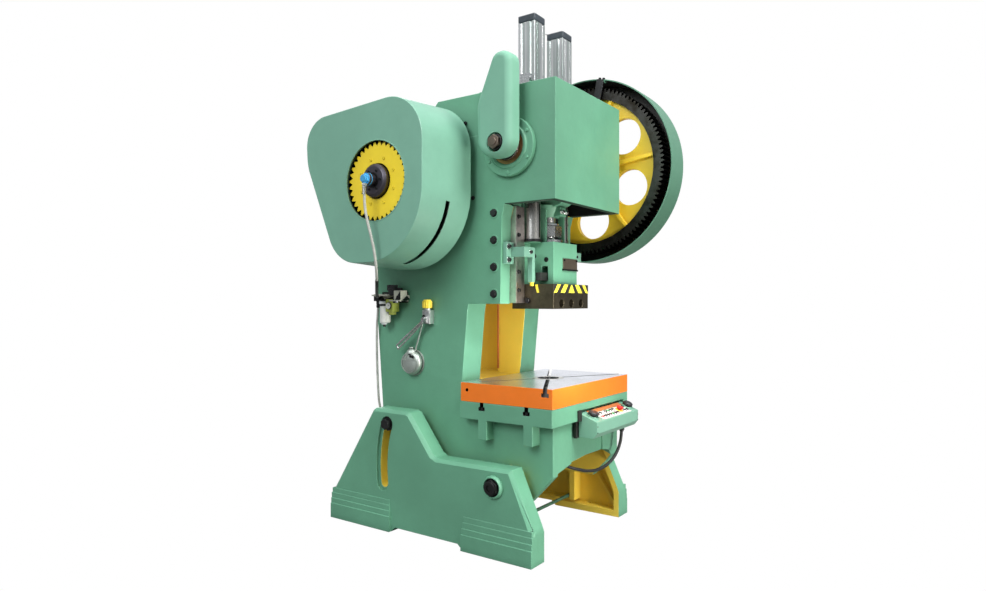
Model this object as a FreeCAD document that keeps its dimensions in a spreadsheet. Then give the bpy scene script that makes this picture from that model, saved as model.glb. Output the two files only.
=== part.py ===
# Open-back inclinable mechanical stamping press: two cast legs carry a tilting
# C-frame with a geared crankshaft, a slide, a bolster, a belt-driven flywheel
# with its clutch, air balance cylinders, hand lubrication and a two-hand desk.
# Millimetres. +X is the machine's right, -Y its front, +Z up, and the origin is
# on the floor at the centre of the anchor-bolt pattern.
import FreeCAD, Part
import math
import os
import Sketcher

os.makedirs("parts", exist_ok=True)
doc = FreeCAD.newDocument("StampingPress")
V = FreeCAD.Vector
ROT = FreeCAD.Rotation

# ---------------------------------------------------------------- sizes
SIZES = [
    # legs
    ("foot_outer_x", 504, "outer face of a foot pad from the centre plane"),
    ("web_outer_x", 490, "outer face of the leg web"),
    ("leg_inner_x", 392, "inner edge of the leg flange"),
    ("foot_front_y", -644, "front of the feet"),
    ("foot_rear_y", 645, "rear of the feet"),
    ("anchor_x", 446, "anchor hole from the centre plane"),
    ("anchor_y", 437, "anchor hole from the middle of the legs"),
    ("anchor_radius", 13, "anchor hole radius"),
    ("pivot_y", -432, "tilt pivot"),
    ("pivot_z", 327, "tilt pivot height"),
    ("slot_radius", 704, "radius of the tilt slot about the pivot"),
    ("slot_half_width", 23, "half width of the tilt slot"),
    # frame casting
    ("frame_half", 341, "side plane of the frame casting"),
    ("frame_wall", 45, "thickness of its side plates"),
    ("crown_front_y", -672, "front of the crown"),
    ("crown_low_z", 1642, "underside of the crown"),
    ("crown_top_z", 2200, "top of the crown"),
    ("throat_top_z", 1163, "lower end of the guide columns"),
    ("column_front_y", -375, "front of the guide columns"),
    ("bed_front_y", -659, "front of the bed body"),
    ("bed_top_z", 689, "top of the bed, under the bolster"),
    ("lip_half", 402, "half width of the bed lip"),
    # crank and drive
    ("crank_y", -430, "crankshaft axis"),
    ("crank_z", 1906, "crankshaft axis height"),
    ("throw", 50, "crank throw, half the stroke"),
    ("pin_radius", 58, "crankpin radius"),
    ("journal_radius", 66, "journal radius"),
    ("housing_radius", 118, "bearing housing radius in the frame"),
    ("shaft_y", 85.4, "drive shaft axis"),
    ("shaft_z", 1745, "drive shaft axis height"),
    ("shaft_radius", 45, "drive shaft radius"),
    ("gear_module", 8, "module of the gear pair"),
    ("gear_teeth", 114, "teeth on the main gear"),
    ("pinion_teeth", 21, "teeth on the pinion"),
    ("gear_left_x", 408, "left face of the gear teeth"),
    ("gear_width", 112, "face width of the gear teeth"),
    ("band_radius", 512, "outer radius of the gear guard band"),
    ("band_left_x", 402, "left edge of the gear guard band"),
    ("band_width", 164, "width of the gear guard band"),
    ("guard_face_x", -728, "outer face of the flywheel guard"),
    ("guard_rim_x", -392, "inner rim of the flywheel guard"),
    ("flywheel_radius", 262, "flywheel rim radius"),
    ("flywheel_left_x", -565, "left face of the flywheel rim"),
    ("flywheel_width", 130, "flywheel rim width"),
    ("motor_y", 435, "motor shaft axis"),
    ("motor_z", 1925, "motor shaft axis height"),
    ("pulley_radius", 66, "motor pulley rim radius"),
    # slide
    ("stroke", 100, "slide stroke"),
    ("slide_half", 120, "half width of the slide's front box"),
    ("slide_front_y", -534, "front of the slide"),
    ("slide_low_z", 1260, "bottom face of the slide"),
    ("block_half", 179, "half width of the die clamp block"),
    ("block_front_y", -568, "front of the die clamp block"),
    ("block_low_z", 1138, "underside of the die clamp block"),
    # bolster
    ("bolster_half", 401, "half width of the bolster"),
    ("bolster_front_y", -691, "front of the bolster"),
    ("bolster_rear_y", -174, "rear of the bolster"),
    ("bolster_thick", 92, "bolster thickness"),
    # balance cylinders
    ("cyl_x", 139, "balance cylinder from the centre plane"),
    ("cyl_y", -418, "balance cylinder axis"),
    ("cyl_size", 97, "width of the square cylinder tube"),
    ("cyl_top_z", 2592, "top of the cylinder caps"),
    ("cyl_cap", 36, "height of a cylinder cap"),
]
sheet = doc.addObject("Spreadsheet::Sheet", "Sizes")
VAL = {}
for row, (name, value, words) in enumerate(SIZES, start=1):
    sheet.set("A%d" % row, name)
    sheet.set("B%d" % row, str(value))
    sheet.set("C%d" % row, words)
    sheet.setAlias("B%d" % row, name)
    VAL[name] = float(value)
doc.recompute()


class Q:
    """A length: its number and the expression that gives it from the sheet."""

    def __init__(self, v, e):
        self.v, self.e = float(v), e

    def __add__(self, o):
        o = q(o)
        return Q(self.v + o.v, "(%s + %s)" % (self.e, o.e))

    def __radd__(self, o):
        return q(o) + self

    def __sub__(self, o):
        o = q(o)
        return Q(self.v - o.v, "(%s - %s)" % (self.e, o.e))

    def __rsub__(self, o):
        return q(o) - self

    def __mul__(self, o):
        o = q(o)
        return Q(self.v * o.v, "(%s * %s)" % (self.e, o.e))

    __rmul__ = __mul__

    def __neg__(self):
        return Q(-self.v, "(0 - %s)" % self.e)


def q(x):
    return x if isinstance(x, Q) else Q(x, "%.6f" % float(x))


def D(name):
    return Q(VAL[name], "Sizes." + name)


def bind(obj, prop, val):
    """Give a property its size, bound to the sheet when it comes from there."""
    val = q(val)
    if "Sizes." in val.e:
        obj.setExpression(prop, val.e)
    return val.v


NODES = []          # (label, object)


def node(label, obj):
    obj.Label = label
    NODES.append((label, obj))
    return obj


# ---------------------------------------------------------------- primitives
count = [0]


def nid(base):
    count[0] += 1
    return "%s_%03d" % (base, count[0])


def place(o, x, y, z, rot=None):
    x, y, z = q(x), q(y), q(z)
    o.Placement = FreeCAD.Placement(V(x.v, y.v, z.v), rot or ROT())
    for axis, val in (("x", x), ("y", y), ("z", z)):
        if "Sizes." in val.e:
            o.setExpression("Placement.Base." + axis, val.e)


def box(x0, x1, y0, y1, z0, z1):
    o = doc.addObject("Part::Box", nid("Block"))
    for prop, a, b in (("Length", x0, x1), ("Width", y0, y1), ("Height", z0, z1)):
        setattr(o, prop, bind(o, prop, q(b) - q(a)))
    place(o, x0, y0, z0)
    return o


AX = {"X": ROT(V(0, 0, 1), V(1, 0, 0)), "Y": ROT(V(0, 0, 1), V(0, 1, 0)), "Z": ROT()}


def cyl(axis, a, b, c, r, length):
    """Cylinder from the point a, b, c along +axis."""
    o = doc.addObject("Part::Cylinder", nid("Round"))
    o.Radius = bind(o, "Radius", r)
    o.Height = bind(o, "Height", length)
    place(o, a, b, c, AX[axis])
    return o


def cone(axis, a, b, c, r1, r2, length):
    o = doc.addObject("Part::Cone", nid("Taper"))
    o.Radius1 = bind(o, "Radius1", r1)
    o.Radius2 = bind(o, "Radius2", r2)
    o.Height = bind(o, "Height", length)
    place(o, a, b, c, AX[axis])
    return o


def ball(x, y, z, r):
    o = doc.addObject("Part::Sphere", nid("Ball"))
    o.Radius = bind(o, "Radius", r)
    place(o, x, y, z)
    return o


def hexa(axis, a, b, c, across, length):
    o = doc.addObject("Part::Prism", nid("Hex"))
    o.Polygon = 6
    o.Circumradius = bind(o, "Circumradius", q(across) * (1 / math.sqrt(3.0)))
    o.Height = bind(o, "Height", length)
    place(o, a, b, c, AX[axis])
    return o


def fuse(*parts):
    o = doc.addObject("Part::MultiFuse", nid("Joined"))
    o.Shapes = list(parts)
    o.Refine = True
    return o


def cut(base, *tools):
    o = doc.addObject("Part::Cut", nid("Cut"))
    o.Base = base
    o.Tool = tools[0] if len(tools) == 1 else group(*tools)
    o.Refine = True
    return o


def group(*parts):
    o = doc.addObject("Part::Compound", nid("Group"))
    o.Links = list(parts)
    return o


def feature(shape):
    o = doc.addObject("Part::Feature", nid("Shape"))
    o.Shape = shape
    return o


def ring(axis, a, b, c, r_out, r_in, length):
    """A plain ring: bush, housing or rim."""
    off = {"X": (-1, 0, 0), "Y": (0, -1, 0), "Z": (0, 0, -1)}[axis]
    hole = cyl(axis, q(a) + off[0], q(b) + off[1], q(c) + off[2], r_in, q(length) + 2)
    return cut(cyl(axis, a, b, c, r_out, length), hole)


# ---------------------------------------------------------------- bodies
class Build:
    """A body made of sketches on its own origin planes and the features on them."""

    def __init__(self, label, keep=True):
        self.body = doc.addObject("PartDesign::Body", "Body_" + label)
        self.k = 0
        self.label = label
        if keep:
            node(label, self.body)

    def sketch(self, role, off=0, shift=(0, 0)):
        """role YZ: x is Y, y is Z, off is X.  XZ: x is X, y is Z, off is Y.
        XY: x is X, y is Y, off is Z."""
        self.k += 1
        sk = self.body.newObject("Sketcher::SketchObject", "Sketch_%s_%d" % (self.label, self.k))
        plane = [f for f in self.body.Origin.OriginFeatures if f.Role == role + "_Plane"][0]
        sk.AttachmentSupport = [(plane, "")]
        sk.MapMode = "FlatFace"
        off = q(off)
        if role == "XZ":
            off = -off
        a, b = q(shift[0]), q(shift[1])
        sk.AttachmentOffset = FreeCAD.Placement(V(a.v, b.v, off.v), ROT())
        for axis, val in (("x", a), ("y", b), ("z", off)):
            if "Sizes." in val.e:
                sk.setExpression("AttachmentOffset.Base." + axis, val.e)
        return sk

    def op(self, kind, sk, length, rev=False):
        self.k += 1
        f = self.body.newObject("PartDesign::" + kind, "%s_%s_%d" % (kind, self.label, self.k))
        f.Profile = sk
        f.Length = bind(f, "Length", length)
        f.Reversed = rev
        sk.Visibility = False
        return f

    # a pad or a cut between two planes, both square to the sketch plane's normal
    def pad(self, role, lo, hi, *loops):
        lo, hi = q(lo), q(hi)
        start = hi if role == "XZ" else lo
        sk = self.sketch(role, start)
        for lp in loops:
            draw(sk, lp)
        return self.op("Pad", sk, hi - lo)

    def pocket(self, role, lo, hi, *loops):
        lo, hi = q(lo), q(hi)
        start = lo if role == "XZ" else hi
        sk = self.sketch(role, start)
        for lp in loops:
            draw(sk, lp)
        return self.op("Pocket", sk, hi - lo)

    def taper(self, x0, x1, first, second):
        """Ruled solid between two outlines of equally many points, on YZ planes at x0 and x1."""
        a, b = self.sketch("YZ", x0), self.sketch("YZ", x1)
        draw(a, first)
        draw(b, second)
        self.k += 1
        f = self.body.newObject("PartDesign::AdditiveLoft", "Taper_%s_%d" % (self.label, self.k))
        f.Profile = a
        f.Sections = [b]
        f.Ruled = True
        a.Visibility = b.Visibility = False
        return f

    def turn(self, axis, at, pts, kind="Revolution"):
        """Turned shape: pts are (along the axis, radius); axis X at (y, z) or Z at (x, y)."""
        if axis == "X":
            sk = self.sketch("XZ", at[0], (0, at[1]))
            draw(sk, pts)
            ref = "H_Axis"
        else:
            sk = self.sketch("XZ", at[1], (at[0], 0))
            draw(sk, [(p[1], p[0]) for p in pts])
            ref = "V_Axis"
        self.k += 1
        f = self.body.newObject("PartDesign::" + kind, "%s_%s_%d" % (kind, self.label, self.k))
        f.Profile = sk
        f.ReferenceAxis = (sk, [ref])
        f.Angle = 360.0
        sk.Visibility = False
        return f


def inset(points, amounts):
    """The outline with each edge moved inward by its own amount; clockwise outlines."""
    pts = [(q(a).v, q(b).v) for a, b in points]
    n = len(pts)
    lines = []
    for i in range(n):
        (ax, ay), (bx_, by) = pts[i], pts[(i + 1) % n]
        l = math.hypot(bx_ - ax, by - ay)
        dx, dy = (bx_ - ax) / l, (by - ay) / l
        lines.append((ax + dy * amounts[i], ay - dx * amounts[i], dx, dy))
    out = []
    for i in range(n):
        px, py, dx, dy = lines[i - 1]
        qx, qy, ex, ey = lines[i]
        det = dx * ey - dy * ex
        t = ((qx - px) * ey - (qy - py) * ex) / det
        out.append((px + dx * t, py + dy * t))
    return out


def draw(sk, loop):
    """A circle ("c", x, y, r) or a closed outline of points, each tied to the origin."""
    if isinstance(loop, tuple) and loop[0] == "c":
        x, y, r = q(loop[1]), q(loop[2]), q(loop[3])
        g = sk.addGeometry(Part.Circle(V(x.v, y.v, 0), V(0, 0, 1), r.v), False)
        tie(sk, "Radius", r, g)
        tie(sk, "DistanceX", x, -1, 1, g, 3)
        tie(sk, "DistanceY", y, -1, 1, g, 3)
        return
    pts = [(q(a), q(b)) for a, b in loop]
    n = len(pts)
    ids = []
    for i in range(n):
        a, b = pts[i], pts[(i + 1) % n]
        ids.append(sk.addGeometry(Part.LineSegment(V(a[0].v, a[1].v, 0), V(b[0].v, b[1].v, 0)), False))
    for i in range(n):
        sk.addConstraint(Sketcher.Constraint("Coincident", ids[i], 2, ids[(i + 1) % n], 1))
    for i in range(n):
        tie(sk, "DistanceX", pts[i][0], -1, 1, ids[i], 1)
        tie(sk, "DistanceY", pts[i][1], -1, 1, ids[i], 1)


def tie(sk, kind, val, *ref):
    c = sk.addConstraint(Sketcher.Constraint(kind, *ref, val.v))
    if "Sizes." in val.e:
        name = "d%d" % c
        sk.renameConstraint(c, name)
        sk.setExpression("Constraints." + name, val.e)


def rect(a0, a1, b0, b1):
    return [(a0, b0), (a1, b0), (a1, b1), (a0, b1)]


# ---------------------------------------------------------------- outlines with round corners
def rounded(points, x):
    """Closed wire in the plane X = x from (y, z, corner radius) points: runs and tangent arcs."""
    n = len(points)
    ends = []
    for i in range(n):
        p = V(x, points[i][0], points[i][1])
        a = V(x, *points[i - 1][:2])
        b = V(x, *points[(i + 1) % n][:2])
        ua, ub = (a - p), (b - p)
        ua.normalize()
        ub.normalize()
        half = math.acos(max(-1, min(1, ua.dot(ub)))) / 2.0
        r = points[i][2]
        t = r / math.tan(half)
        mid = (ua + ub)
        mid.normalize()
        c = p + mid * (r / math.sin(half))
        ends.append((p + ua * t, c - mid * r, p + ub * t))
    edges = []
    for i in range(n):
        s, m, e = ends[i]
        edges.append(Part.Arc(s, m, e).toShape())
        nxt = ends[(i + 1) % n][0]
        if (nxt - e).Length > 1e-4:
            edges.append(Part.LineSegment(e, nxt).toShape())
    return Part.Wire(edges)


def grown(points, d):
    """The same outline moved outward by d, its corner radii with it."""
    n = len(points)
    area = sum(points[i][0] * points[(i + 1) % n][1] - points[(i + 1) % n][0] * points[i][1] for i in range(n))
    s = 1.0 if area > 0 else -1.0
    out = []
    for i in range(n):
        p, a, b = points[i], points[i - 1], points[(i + 1) % n]
        d1 = (p[0] - a[0], p[1] - a[1])
        d2 = (b[0] - p[0], b[1] - p[1])
        l1, l2 = math.hypot(*d1), math.hypot(*d2)
        n1 = (d1[1] / l1 * s, -d1[0] / l1 * s)
        n2 = (d2[1] / l2 * s, -d2[0] / l2 * s)
        k = 1.0 + n1[0] * n2[0] + n1[1] * n2[1]
        out.append((p[0] + d * (n1[0] + n2[0]) / k, p[1] + d * (n1[1] + n2[1]) / k, max(p[2] + d, 1.0)))
    return out


def slab(points, x0, x1):
    return Part.Face(rounded(points, x0)).extrude(V(x1 - x0, 0, 0))


def bar_between(p, r_, rad):
    a_, b_ = V(*p), V(*r_)
    return Part.makeCylinder(rad, (b_ - a_).Length, a_, b_ - a_)


def rot_x(dy, dz, deg):
    a = math.radians(deg)
    return dy * math.cos(a) - dz * math.sin(a), dy * math.sin(a) + dz * math.cos(a)


# ================================================================ legs
def slot_outline(radius, half, a0, a1, y0, z0, steps=16):
    """Curved slot about (y0, z0): round ends, as a polygon."""
    pts = []
    for i in range(steps + 1):
        a = math.radians(a0 + (a1 - a0) * i / steps)
        pts.append((y0 + (radius - half) * math.cos(a), z0 + (radius - half) * math.sin(a)))
    for j in range(1, 6):
        b = math.radians(a1 + 180 - 180 * j / 6.0)
        a = math.radians(a1)
        pts.append((y0 + radius * math.cos(a) + half * math.cos(b), z0 + radius * math.sin(a) + half * math.sin(b)))
    for i in range(steps, -1, -1):
        a = math.radians(a0 + (a1 - a0) * i / steps)
        pts.append((y0 + (radius + half) * math.cos(a), z0 + (radius + half) * math.sin(a)))
    for j in range(1, 6):
        b = math.radians(a0 - 180 * j / 6.0)
        a = math.radians(a0)
        pts.append((y0 + radius * math.cos(a) + half * math.cos(b), z0 + radius * math.sin(a) + half * math.sin(b)))
    return pts


SLOT_TOP, SLOT_LOW = 18.2, -7.2      # degrees about the pivot, level forward axis +Y


def leg(label, side):
    """side -1 for the left leg, +1 for the right one."""
    b = Build(label)

    def span(lo, hi):
        """The two distances from the centre plane, in rising X for this side."""
        lo, hi = q(lo), q(hi)
        return (lo, hi) if side > 0 else (-hi, -lo)

    fo, wo, li = D("foot_outer_x"), D("web_outer_x"), D("leg_inner_x")
    fy, ry = D("foot_front_y"), D("foot_rear_y")
    body = [(fy, 0), (fy, 138), (fy + 9, 162), (-523, 413), (-92, 409), (-60, 424), (84, 610), (106, 620),
            (325, 620), (345, 607), (ry - 12, 162), (ry, 138), (ry, 0), (208, 0), (180, 24), (-222, 24), (-250, 0)]
    b.pad("YZ", *span(li, wo - 16), body)
    # the outer 16 mm is bevelled along the sloping and upper edges
    edge_in = [0, 16, 16, 16, 16, 16, 16, 16, 16, 16, 16, 0, 0, 0, 0, 0, 0]
    b.taper(wo - 16 if side > 0 else 16 - wo, wo if side > 0 else -wo, body, inset(body, edge_in))
    # foot pads, stepped in three courses
    for k, (z0, z1, out) in enumerate(((0, 78, 0), (78, 106, 4), (106, 134, 8), (134, 160, 11))):
        lo = q(wo) - 17
        b.pad("YZ", *span(lo, fo - out), rect(fy + (0 if k < 3 else 4), -250 - 3 * k, z0 if k == 0 else z0 - 0.5, z1))
        b.pad("YZ", *span(lo, fo - out), rect(208 + 3 * k, ry - (0 if k < 3 else 4), z0 if k == 0 else z0 - 0.5, z1))
    # the casting is hollow on the inside, behind its web
    inner = wo - 26
    hollow_a = [(fy + 30, 34), (fy + 30, 134), (fy + 38, 156), (-505, 385), (-372, 385), (-372, 48), (-262, 48), (-268, 34)]
    hollow_b = [(-340, 52), (-340, 385), (-80, 383), (-58, 396), (60, 556), (60, 52)]
    hollow_c = [(92, 52), (92, 580), (316, 592), (ry - 40, 156), (ry - 30, 130), (ry - 30, 34), (226, 34), (204, 52)]
    b.pocket("YZ", *span(li - 2, inner), hollow_a)
    b.pocket("YZ", *span(li - 2, inner), hollow_b)
    b.pocket("YZ", *span(li - 2, inner), hollow_c)
    # the pivot boss reaches in to the frame's side; the land round the slot stays inside the flange
    near = D("frame_half") + 1
    b.pad("YZ", *span(near, inner + 1), ("c", D("pivot_y"), D("pivot_z"), 72))
    b.pad("YZ", *span(li, inner + 1),
          slot_outline(VAL["slot_radius"], 44, SLOT_LOW - 0.6, SLOT_TOP + 0.4, VAL["pivot_y"], VAL["pivot_z"]))
    # the slot, with a wide bevel outside, and the pivot hole
    b.pocket("YZ", *span(near - 2, wo + 2),
             slot_outline(VAL["slot_radius"], VAL["slot_half_width"], SLOT_LOW, SLOT_TOP, VAL["pivot_y"], VAL["pivot_z"]))
    b.pocket("YZ", *span(wo - 16, wo + 2),
             slot_outline(VAL["slot_radius"], VAL["slot_half_width"] + 16, SLOT_LOW, SLOT_TOP, VAL["pivot_y"], VAL["pivot_z"]))
    b.pocket("YZ", *span(near - 2, wo + 2), ("c", D("pivot_y"), D("pivot_z"), 24.05))
    # anchor holes and tie rod holes
    cx = D("anchor_x") if side > 0 else -D("anchor_x")
    b.pocket("XY", -1, 60, ("c", cx, -D("anchor_y"), D("anchor_radius")), ("c", cx, D("anchor_y"), D("anchor_radius")))
    b.pocket("YZ", *span(li - 2, wo - 11), ("c", -325, 66, 9.05), ("c", 168, 66, 9.05))
    return b


for label, side in (("leg_left", -1), ("leg_right", 1)):
    leg(label, side)

# two plain rods, shouldered in blind bores of the webs
node("tie_rods", group(*[cyl("X", -D("web_outer_x") + 12, y, z, 9, (D("web_outer_x") - 12) * 2) for y, z in ((-325, 66), (168, 66))]))

# pivot bolts: one each side, head outside, the shank carries the frame
piv = []
for s in (-1, 1):
    x_out = D("web_outer_x") if s > 0 else -D("web_outer_x")
    if s > 0:
        shank = cyl("X", D("frame_half") - 30, D("pivot_y"), D("pivot_z"), 24, D("web_outer_x") - D("frame_half") + 30)
        head = hexa("X", D("web_outer_x"), D("pivot_y"), D("pivot_z"), 66, 28)
        wash = cyl("X", D("web_outer_x"), D("pivot_y"), D("pivot_z"), 42, 7)
    else:
        shank = cyl("X", -D("web_outer_x"), D("pivot_y"), D("pivot_z"), 24, D("web_outer_x") - D("frame_half") + 30)
        head = hexa("X", -D("web_outer_x") - 28, D("pivot_y"), D("pivot_z"), 66, 28)
        wash = cyl("X", -D("web_outer_x") - 7, D("pivot_y"), D("pivot_z"), 42, 7)
    piv.append(fuse(shank, head, wash))
node("pivot_bolts", group(*piv))

# tilt lock bolts: they are screwed into the frame and ride in the curved slots
ly, lz = rot_x(VAL["slot_radius"], 0, SLOT_TOP)
ly += VAL["pivot_y"]
lz += VAL["pivot_z"]
lock = []
for s in (-1, 1):
    bed = VAL["web_outer_x"] - 16
    if s > 0:
        lock.append(fuse(cyl("X", D("frame_half") - 28, ly, lz, 17, bed - VAL["frame_half"] + 28), cyl("X", D("frame_half"), ly, lz, 30, 50.4),
                         cyl("X", bed + 0.3, ly, lz, 36, 8), cyl("X", bed - 0.2, ly, lz, 17, 10),
                         hexa("X", bed + 8.3, ly, lz, 50, 26)))
    else:
        lock.append(fuse(cyl("X", -bed, ly, lz, 17, bed - VAL["frame_half"] + 28), cyl("X", -D("frame_half") - 50.4, ly, lz, 30, 50.4),
                         cyl("X", -bed - 8.3, ly, lz, 36, 8), cyl("X", -bed - 9, ly, lz, 17, 10),
                         hexa("X", -bed - 34.3, ly, lz, 50, 26)))
node("tilt_lock_bolts", group(*lock))

# ================================================================ frame casting
b = Build("c_frame")
H, W = D("frame_half"), D("frame_wall")
side_line = [
    (D("crown_front_y"), D("crown_low_z")), (D("crown_front_y"), D("crown_top_z")), (27, D("crown_top_z")),
    (232, 1978), (246, 1778), (560, 1778), (560, 1744), (474, 1600), (470, 1348), (409, 610), (404, 462), (380, 432),
    (-60, 292), (-200, 240), (-535, 236), (D("bed_front_y"), 368), (D("bed_front_y"), D("bed_top_z")),
    (-126, D("bed_top_z")), (-138, 800), (-168, 1120), (-176, D("throat_top_z")),
    (-366, D("throat_top_z")), (D("column_front_y"), D("crown_low_z") - 60), (-392, D("crown_low_z"))]
b.pad("YZ", -H, H, side_line)
# bed lip, and the four ribs under it that carry the clamping bolts
b.pad("XY", D("bed_top_z") - 84, D("bed_top_z"), rect(-D("lip_half"), D("lip_half"), -664, -170))
b.pad("XY", D("bed_top_z") - 84, D("bed_top_z"), rect(-D("lip_half"), -142, -690, -663))
b.pad("XY", D("bed_top_z") - 84, D("bed_top_z"), rect(355, D("lip_half"), -690, -663))
b.pad("XY", D("bed_top_z") - 37, D("bed_top_z"), rect(-143, 356, -690, -663))
for s in (-1, 1):
    for y0, y1 in ((-329, -279), (-586, -536)):
        xa, xb = (D("lip_half") * -1, 1 - H) if s < 0 else (H - 1, D("lip_half"))
        b.pad("XY", 512, D("bed_top_z") - 80, rect(xa, xb, y0, y1))
# crown: open below, closed in front and on top
b.pocket("YZ", W - H, H - W, rect(D("crown_front_y") + 34, -160, D("crown_low_z") - 1, D("crown_top_z") - 40))
# chamber behind the crank for the drive shaft, open to the rear window
b.pocket("YZ", W - H, H - W, [(-118, 1372), (-118, 2150), (10, 2150), (190, 1950), (204, 1735), (430, 1735), (430, 1600), (426, 1372)])
# the open back: wide between the side plates behind, narrower where the throat's two box columns stand
b.pocket("YZ", W - H, H - W, rect(-306, -200, 1150, 1501))
b.pocket("YZ", W - H, H - W, rect(-306, -160, 1500, D("crown_low_z")))
b.pocket("YZ", -258, 258, rect(-420, -305, 1150, D("crown_low_z")))
b.pocket("YZ", W - H, H - W, rect(15, 600, 770, 1330))
b.pocket("YZ", -190, 190, rect(-260, 20, 770, 1501))
# bed box, open below, with the hole for scrap and knock-outs
b.pocket("YZ", W - H, H - W, [(D("bed_front_y") + 40, 200), (D("bed_front_y") + 40, 618), (-150, 618), (-110, 740),
                              (365, 740), (365, 640), (362, 380), (362, 200)])
# the arched lower edge of the front wall
b.pocket("XZ", D("bed_front_y") - 2, D("bed_front_y") + 60,
         [(W - H, 200), (W - H, 378), (-150, 404), (0, 413), (190, 410), (240, 396), (H - W, 330), (H - W, 200)])
b.pocket("XY", 600, 700, ("c", 0, -432, 110))
# the middle of the front wall stands back a little
b.pocket("XZ", D("bed_front_y") - 2, D("bed_front_y") + 9, rect(-165, 165, 380, D("bed_top_z") - 84))
# bores: crank housings, drive shaft bearings
b.pocket("YZ", -H - 2, H + 2, ("c", D("crank_y"), D("crank_z"), D("housing_radius")))
b.pocket("YZ", -H - 2, H + 2, ("c", D("shaft_y"), D("shaft_z"), 85))
# bores for the cylinder rods through the crown top
b.pocket("XY", D("crown_top_z") - 60, D("crown_top_z") + 2, ("c", D("cyl_x"), D("cyl_y"), 16), ("c", -D("cyl_x"), D("cyl_y"), 16))
# tapped holes for pivot bolts, tilt lock bolts and guide bolts
b.pocket("YZ", -H - 2, -H + 30.3, ("c", D("pivot_y"), D("pivot_z"), 24.02), ("c", ly, lz, 17))
b.pocket("YZ", H - 30.3, H + 2, ("c", D("pivot_y"), D("pivot_z"), 24.02), ("c", ly, lz, 17))
for z in (1602, 1471, 1341, 1211):
    b.pocket("YZ", -H - 2, -H + 50, ("c", -330, z, 10))
    b.pocket("YZ", H - 50, H + 2, ("c", -330, z, 10))
# the side panels behind the crown stand back a little
for lo, hi in ((-H - 2, 7 - H), (H - 7, H + 2)):
    b.pocket("YZ", lo, hi, [(-241, 1990), (-241, 2202), (40, 2202), (238, 1990)])
# bracket and collar for the control cable inside the bed, and the bulkhead for the air supply at the back
b.pad("XY", 530, 542, rect(-212, -152, D("bed_front_y") + 39, -548))
b.pad("XY", 517, 531, ("c", -182, -570, 12))
b.pad("XY", 490, 512, rect(-334, -302, 400, 446))
b.pad("XY", 511, 525, ("c", -318, 432, 11))
# small inverted T slots in the lip
for s in (-1, 1):
    for y in (-300, -553):
        xa, xb = (D("lip_half") * -1 - 2, D("lip_half") * -1 + 26) if s < 0 else (D("lip_half") - 26, D("lip_half") + 2)
        b.pocket("YZ", xa, xb, [(y - 9, 691), (y - 9, 668), (y - 17, 668), (y - 17, 652), (y + 17, 652), (y + 17, 668),
                                (y + 9, 668), (y + 9, 691)])

# ---------------------------------------------------------------- crank bearings
for label, s in (("left", -1), ("right", 1)):
    b = Build("bearing_housing_" + label)
    r = D("housing_radius")
    prof = [(306, 84), (306, r), (H + 0, r), (H + 0, 140), (H + 28, 140), (H + 28, 106), (H + 35, 102), (H + 35, 90), (H + 30, 84)]
    b.turn("X", (D("crank_y"), D("crank_z")), [((q(p) if s > 0 else -q(p)), rr) for p, rr in prof])
    b = Build("crank_bush_" + label)
    prof = [(300, D("journal_radius") + 0.05), (300, 84), (H + 30, 84), (H + 30, D("journal_radius") + 0.05)]
    b.turn("X", (D("crank_y"), D("crank_z")), [((q(p) if s > 0 else -q(p)), rr) for p, rr in prof])

# ---------------------------------------------------------------- guides
# each gib is a steel block on the inner face of the side plate; its notch takes the slide rail
for label, s in (("gib_left", -1), ("gib_right", 1)):
    b = Build(label)
    o = q(258)
    xs = lambda v: q(v) if s > 0 else -q(v)
    b.pad("XY", D("throat_top_z") + 4, 1500,
          [(xs(o), -404), (xs(182), -404), (xs(182), -383), (xs(222), -360.5), (xs(182), -338), (xs(182), -312), (xs(o), -312)])
    b.pad("XY", 1499, 1640,
          [(xs(o), -404), (xs(182), -404), (xs(182), -383), (xs(222), -360.5), (xs(182), -338), (xs(182), -312), (xs(o), -312)])

bolts = []
for s in (-1, 1):
    for z in (1602, 1471, 1341, 1211):
        if s < 0:
            bolts.append(fuse(cyl("X", -H - 0, -330, z, 10, 45), hexa("X", -H - 13, -330, z, 30, 13), cyl("X", -H - 3, -330, z, 20, 3)))
        else:
            bolts.append(fuse(cyl("X", H - 45, -330, z, 10, 45), hexa("X", H, -330, z, 30, 13), cyl("X", H, -330, z, 20, 3)))
node("gib_bolts", group(*bolts))

# ---------------------------------------------------------------- bolster
b = Build("bolster")
zt = D("bed_top_z") + D("bolster_thick")
b.pad("XY", D("bed_top_z"), zt, rect(-D("bolster_half"), D("bolster_half"), D("bolster_front_y"), D("bolster_rear_y")))
b.pocket("XY", D("bed_top_z") - 2, zt + 2, ("c", 0, -432, 55))
# two T slots from corner to corner through the centre
for sy_ in (-1, 1):
    L = math.hypot(401, 220)
    ux, uy = 401 / L, sy_ * 220 / L
    for half, lo, hi in ((9, zt - 22, zt + 2), (17, zt - 38, zt - 21)):
        nx, ny = -uy * half, ux * half
        ex, ey = ux * (L + 30), uy * (L + 30)
        # the slot toward the left rear corner ends blind
        k_ = 1.0 if sy_ > 0 else 0.80
        b.pocket("XY", lo, hi, [(-ex * k_ + nx, -432 - ey * k_ + ny), (-ex * k_ - nx, -432 - ey * k_ - ny), (ex - nx, -432 + ey - ny), (ex + nx, -432 + ey + ny)])
b.pocket("YZ", -D("bolster_half") - 2, -D("bolster_half") + 40, ("c", -212, 745, 8))

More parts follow.
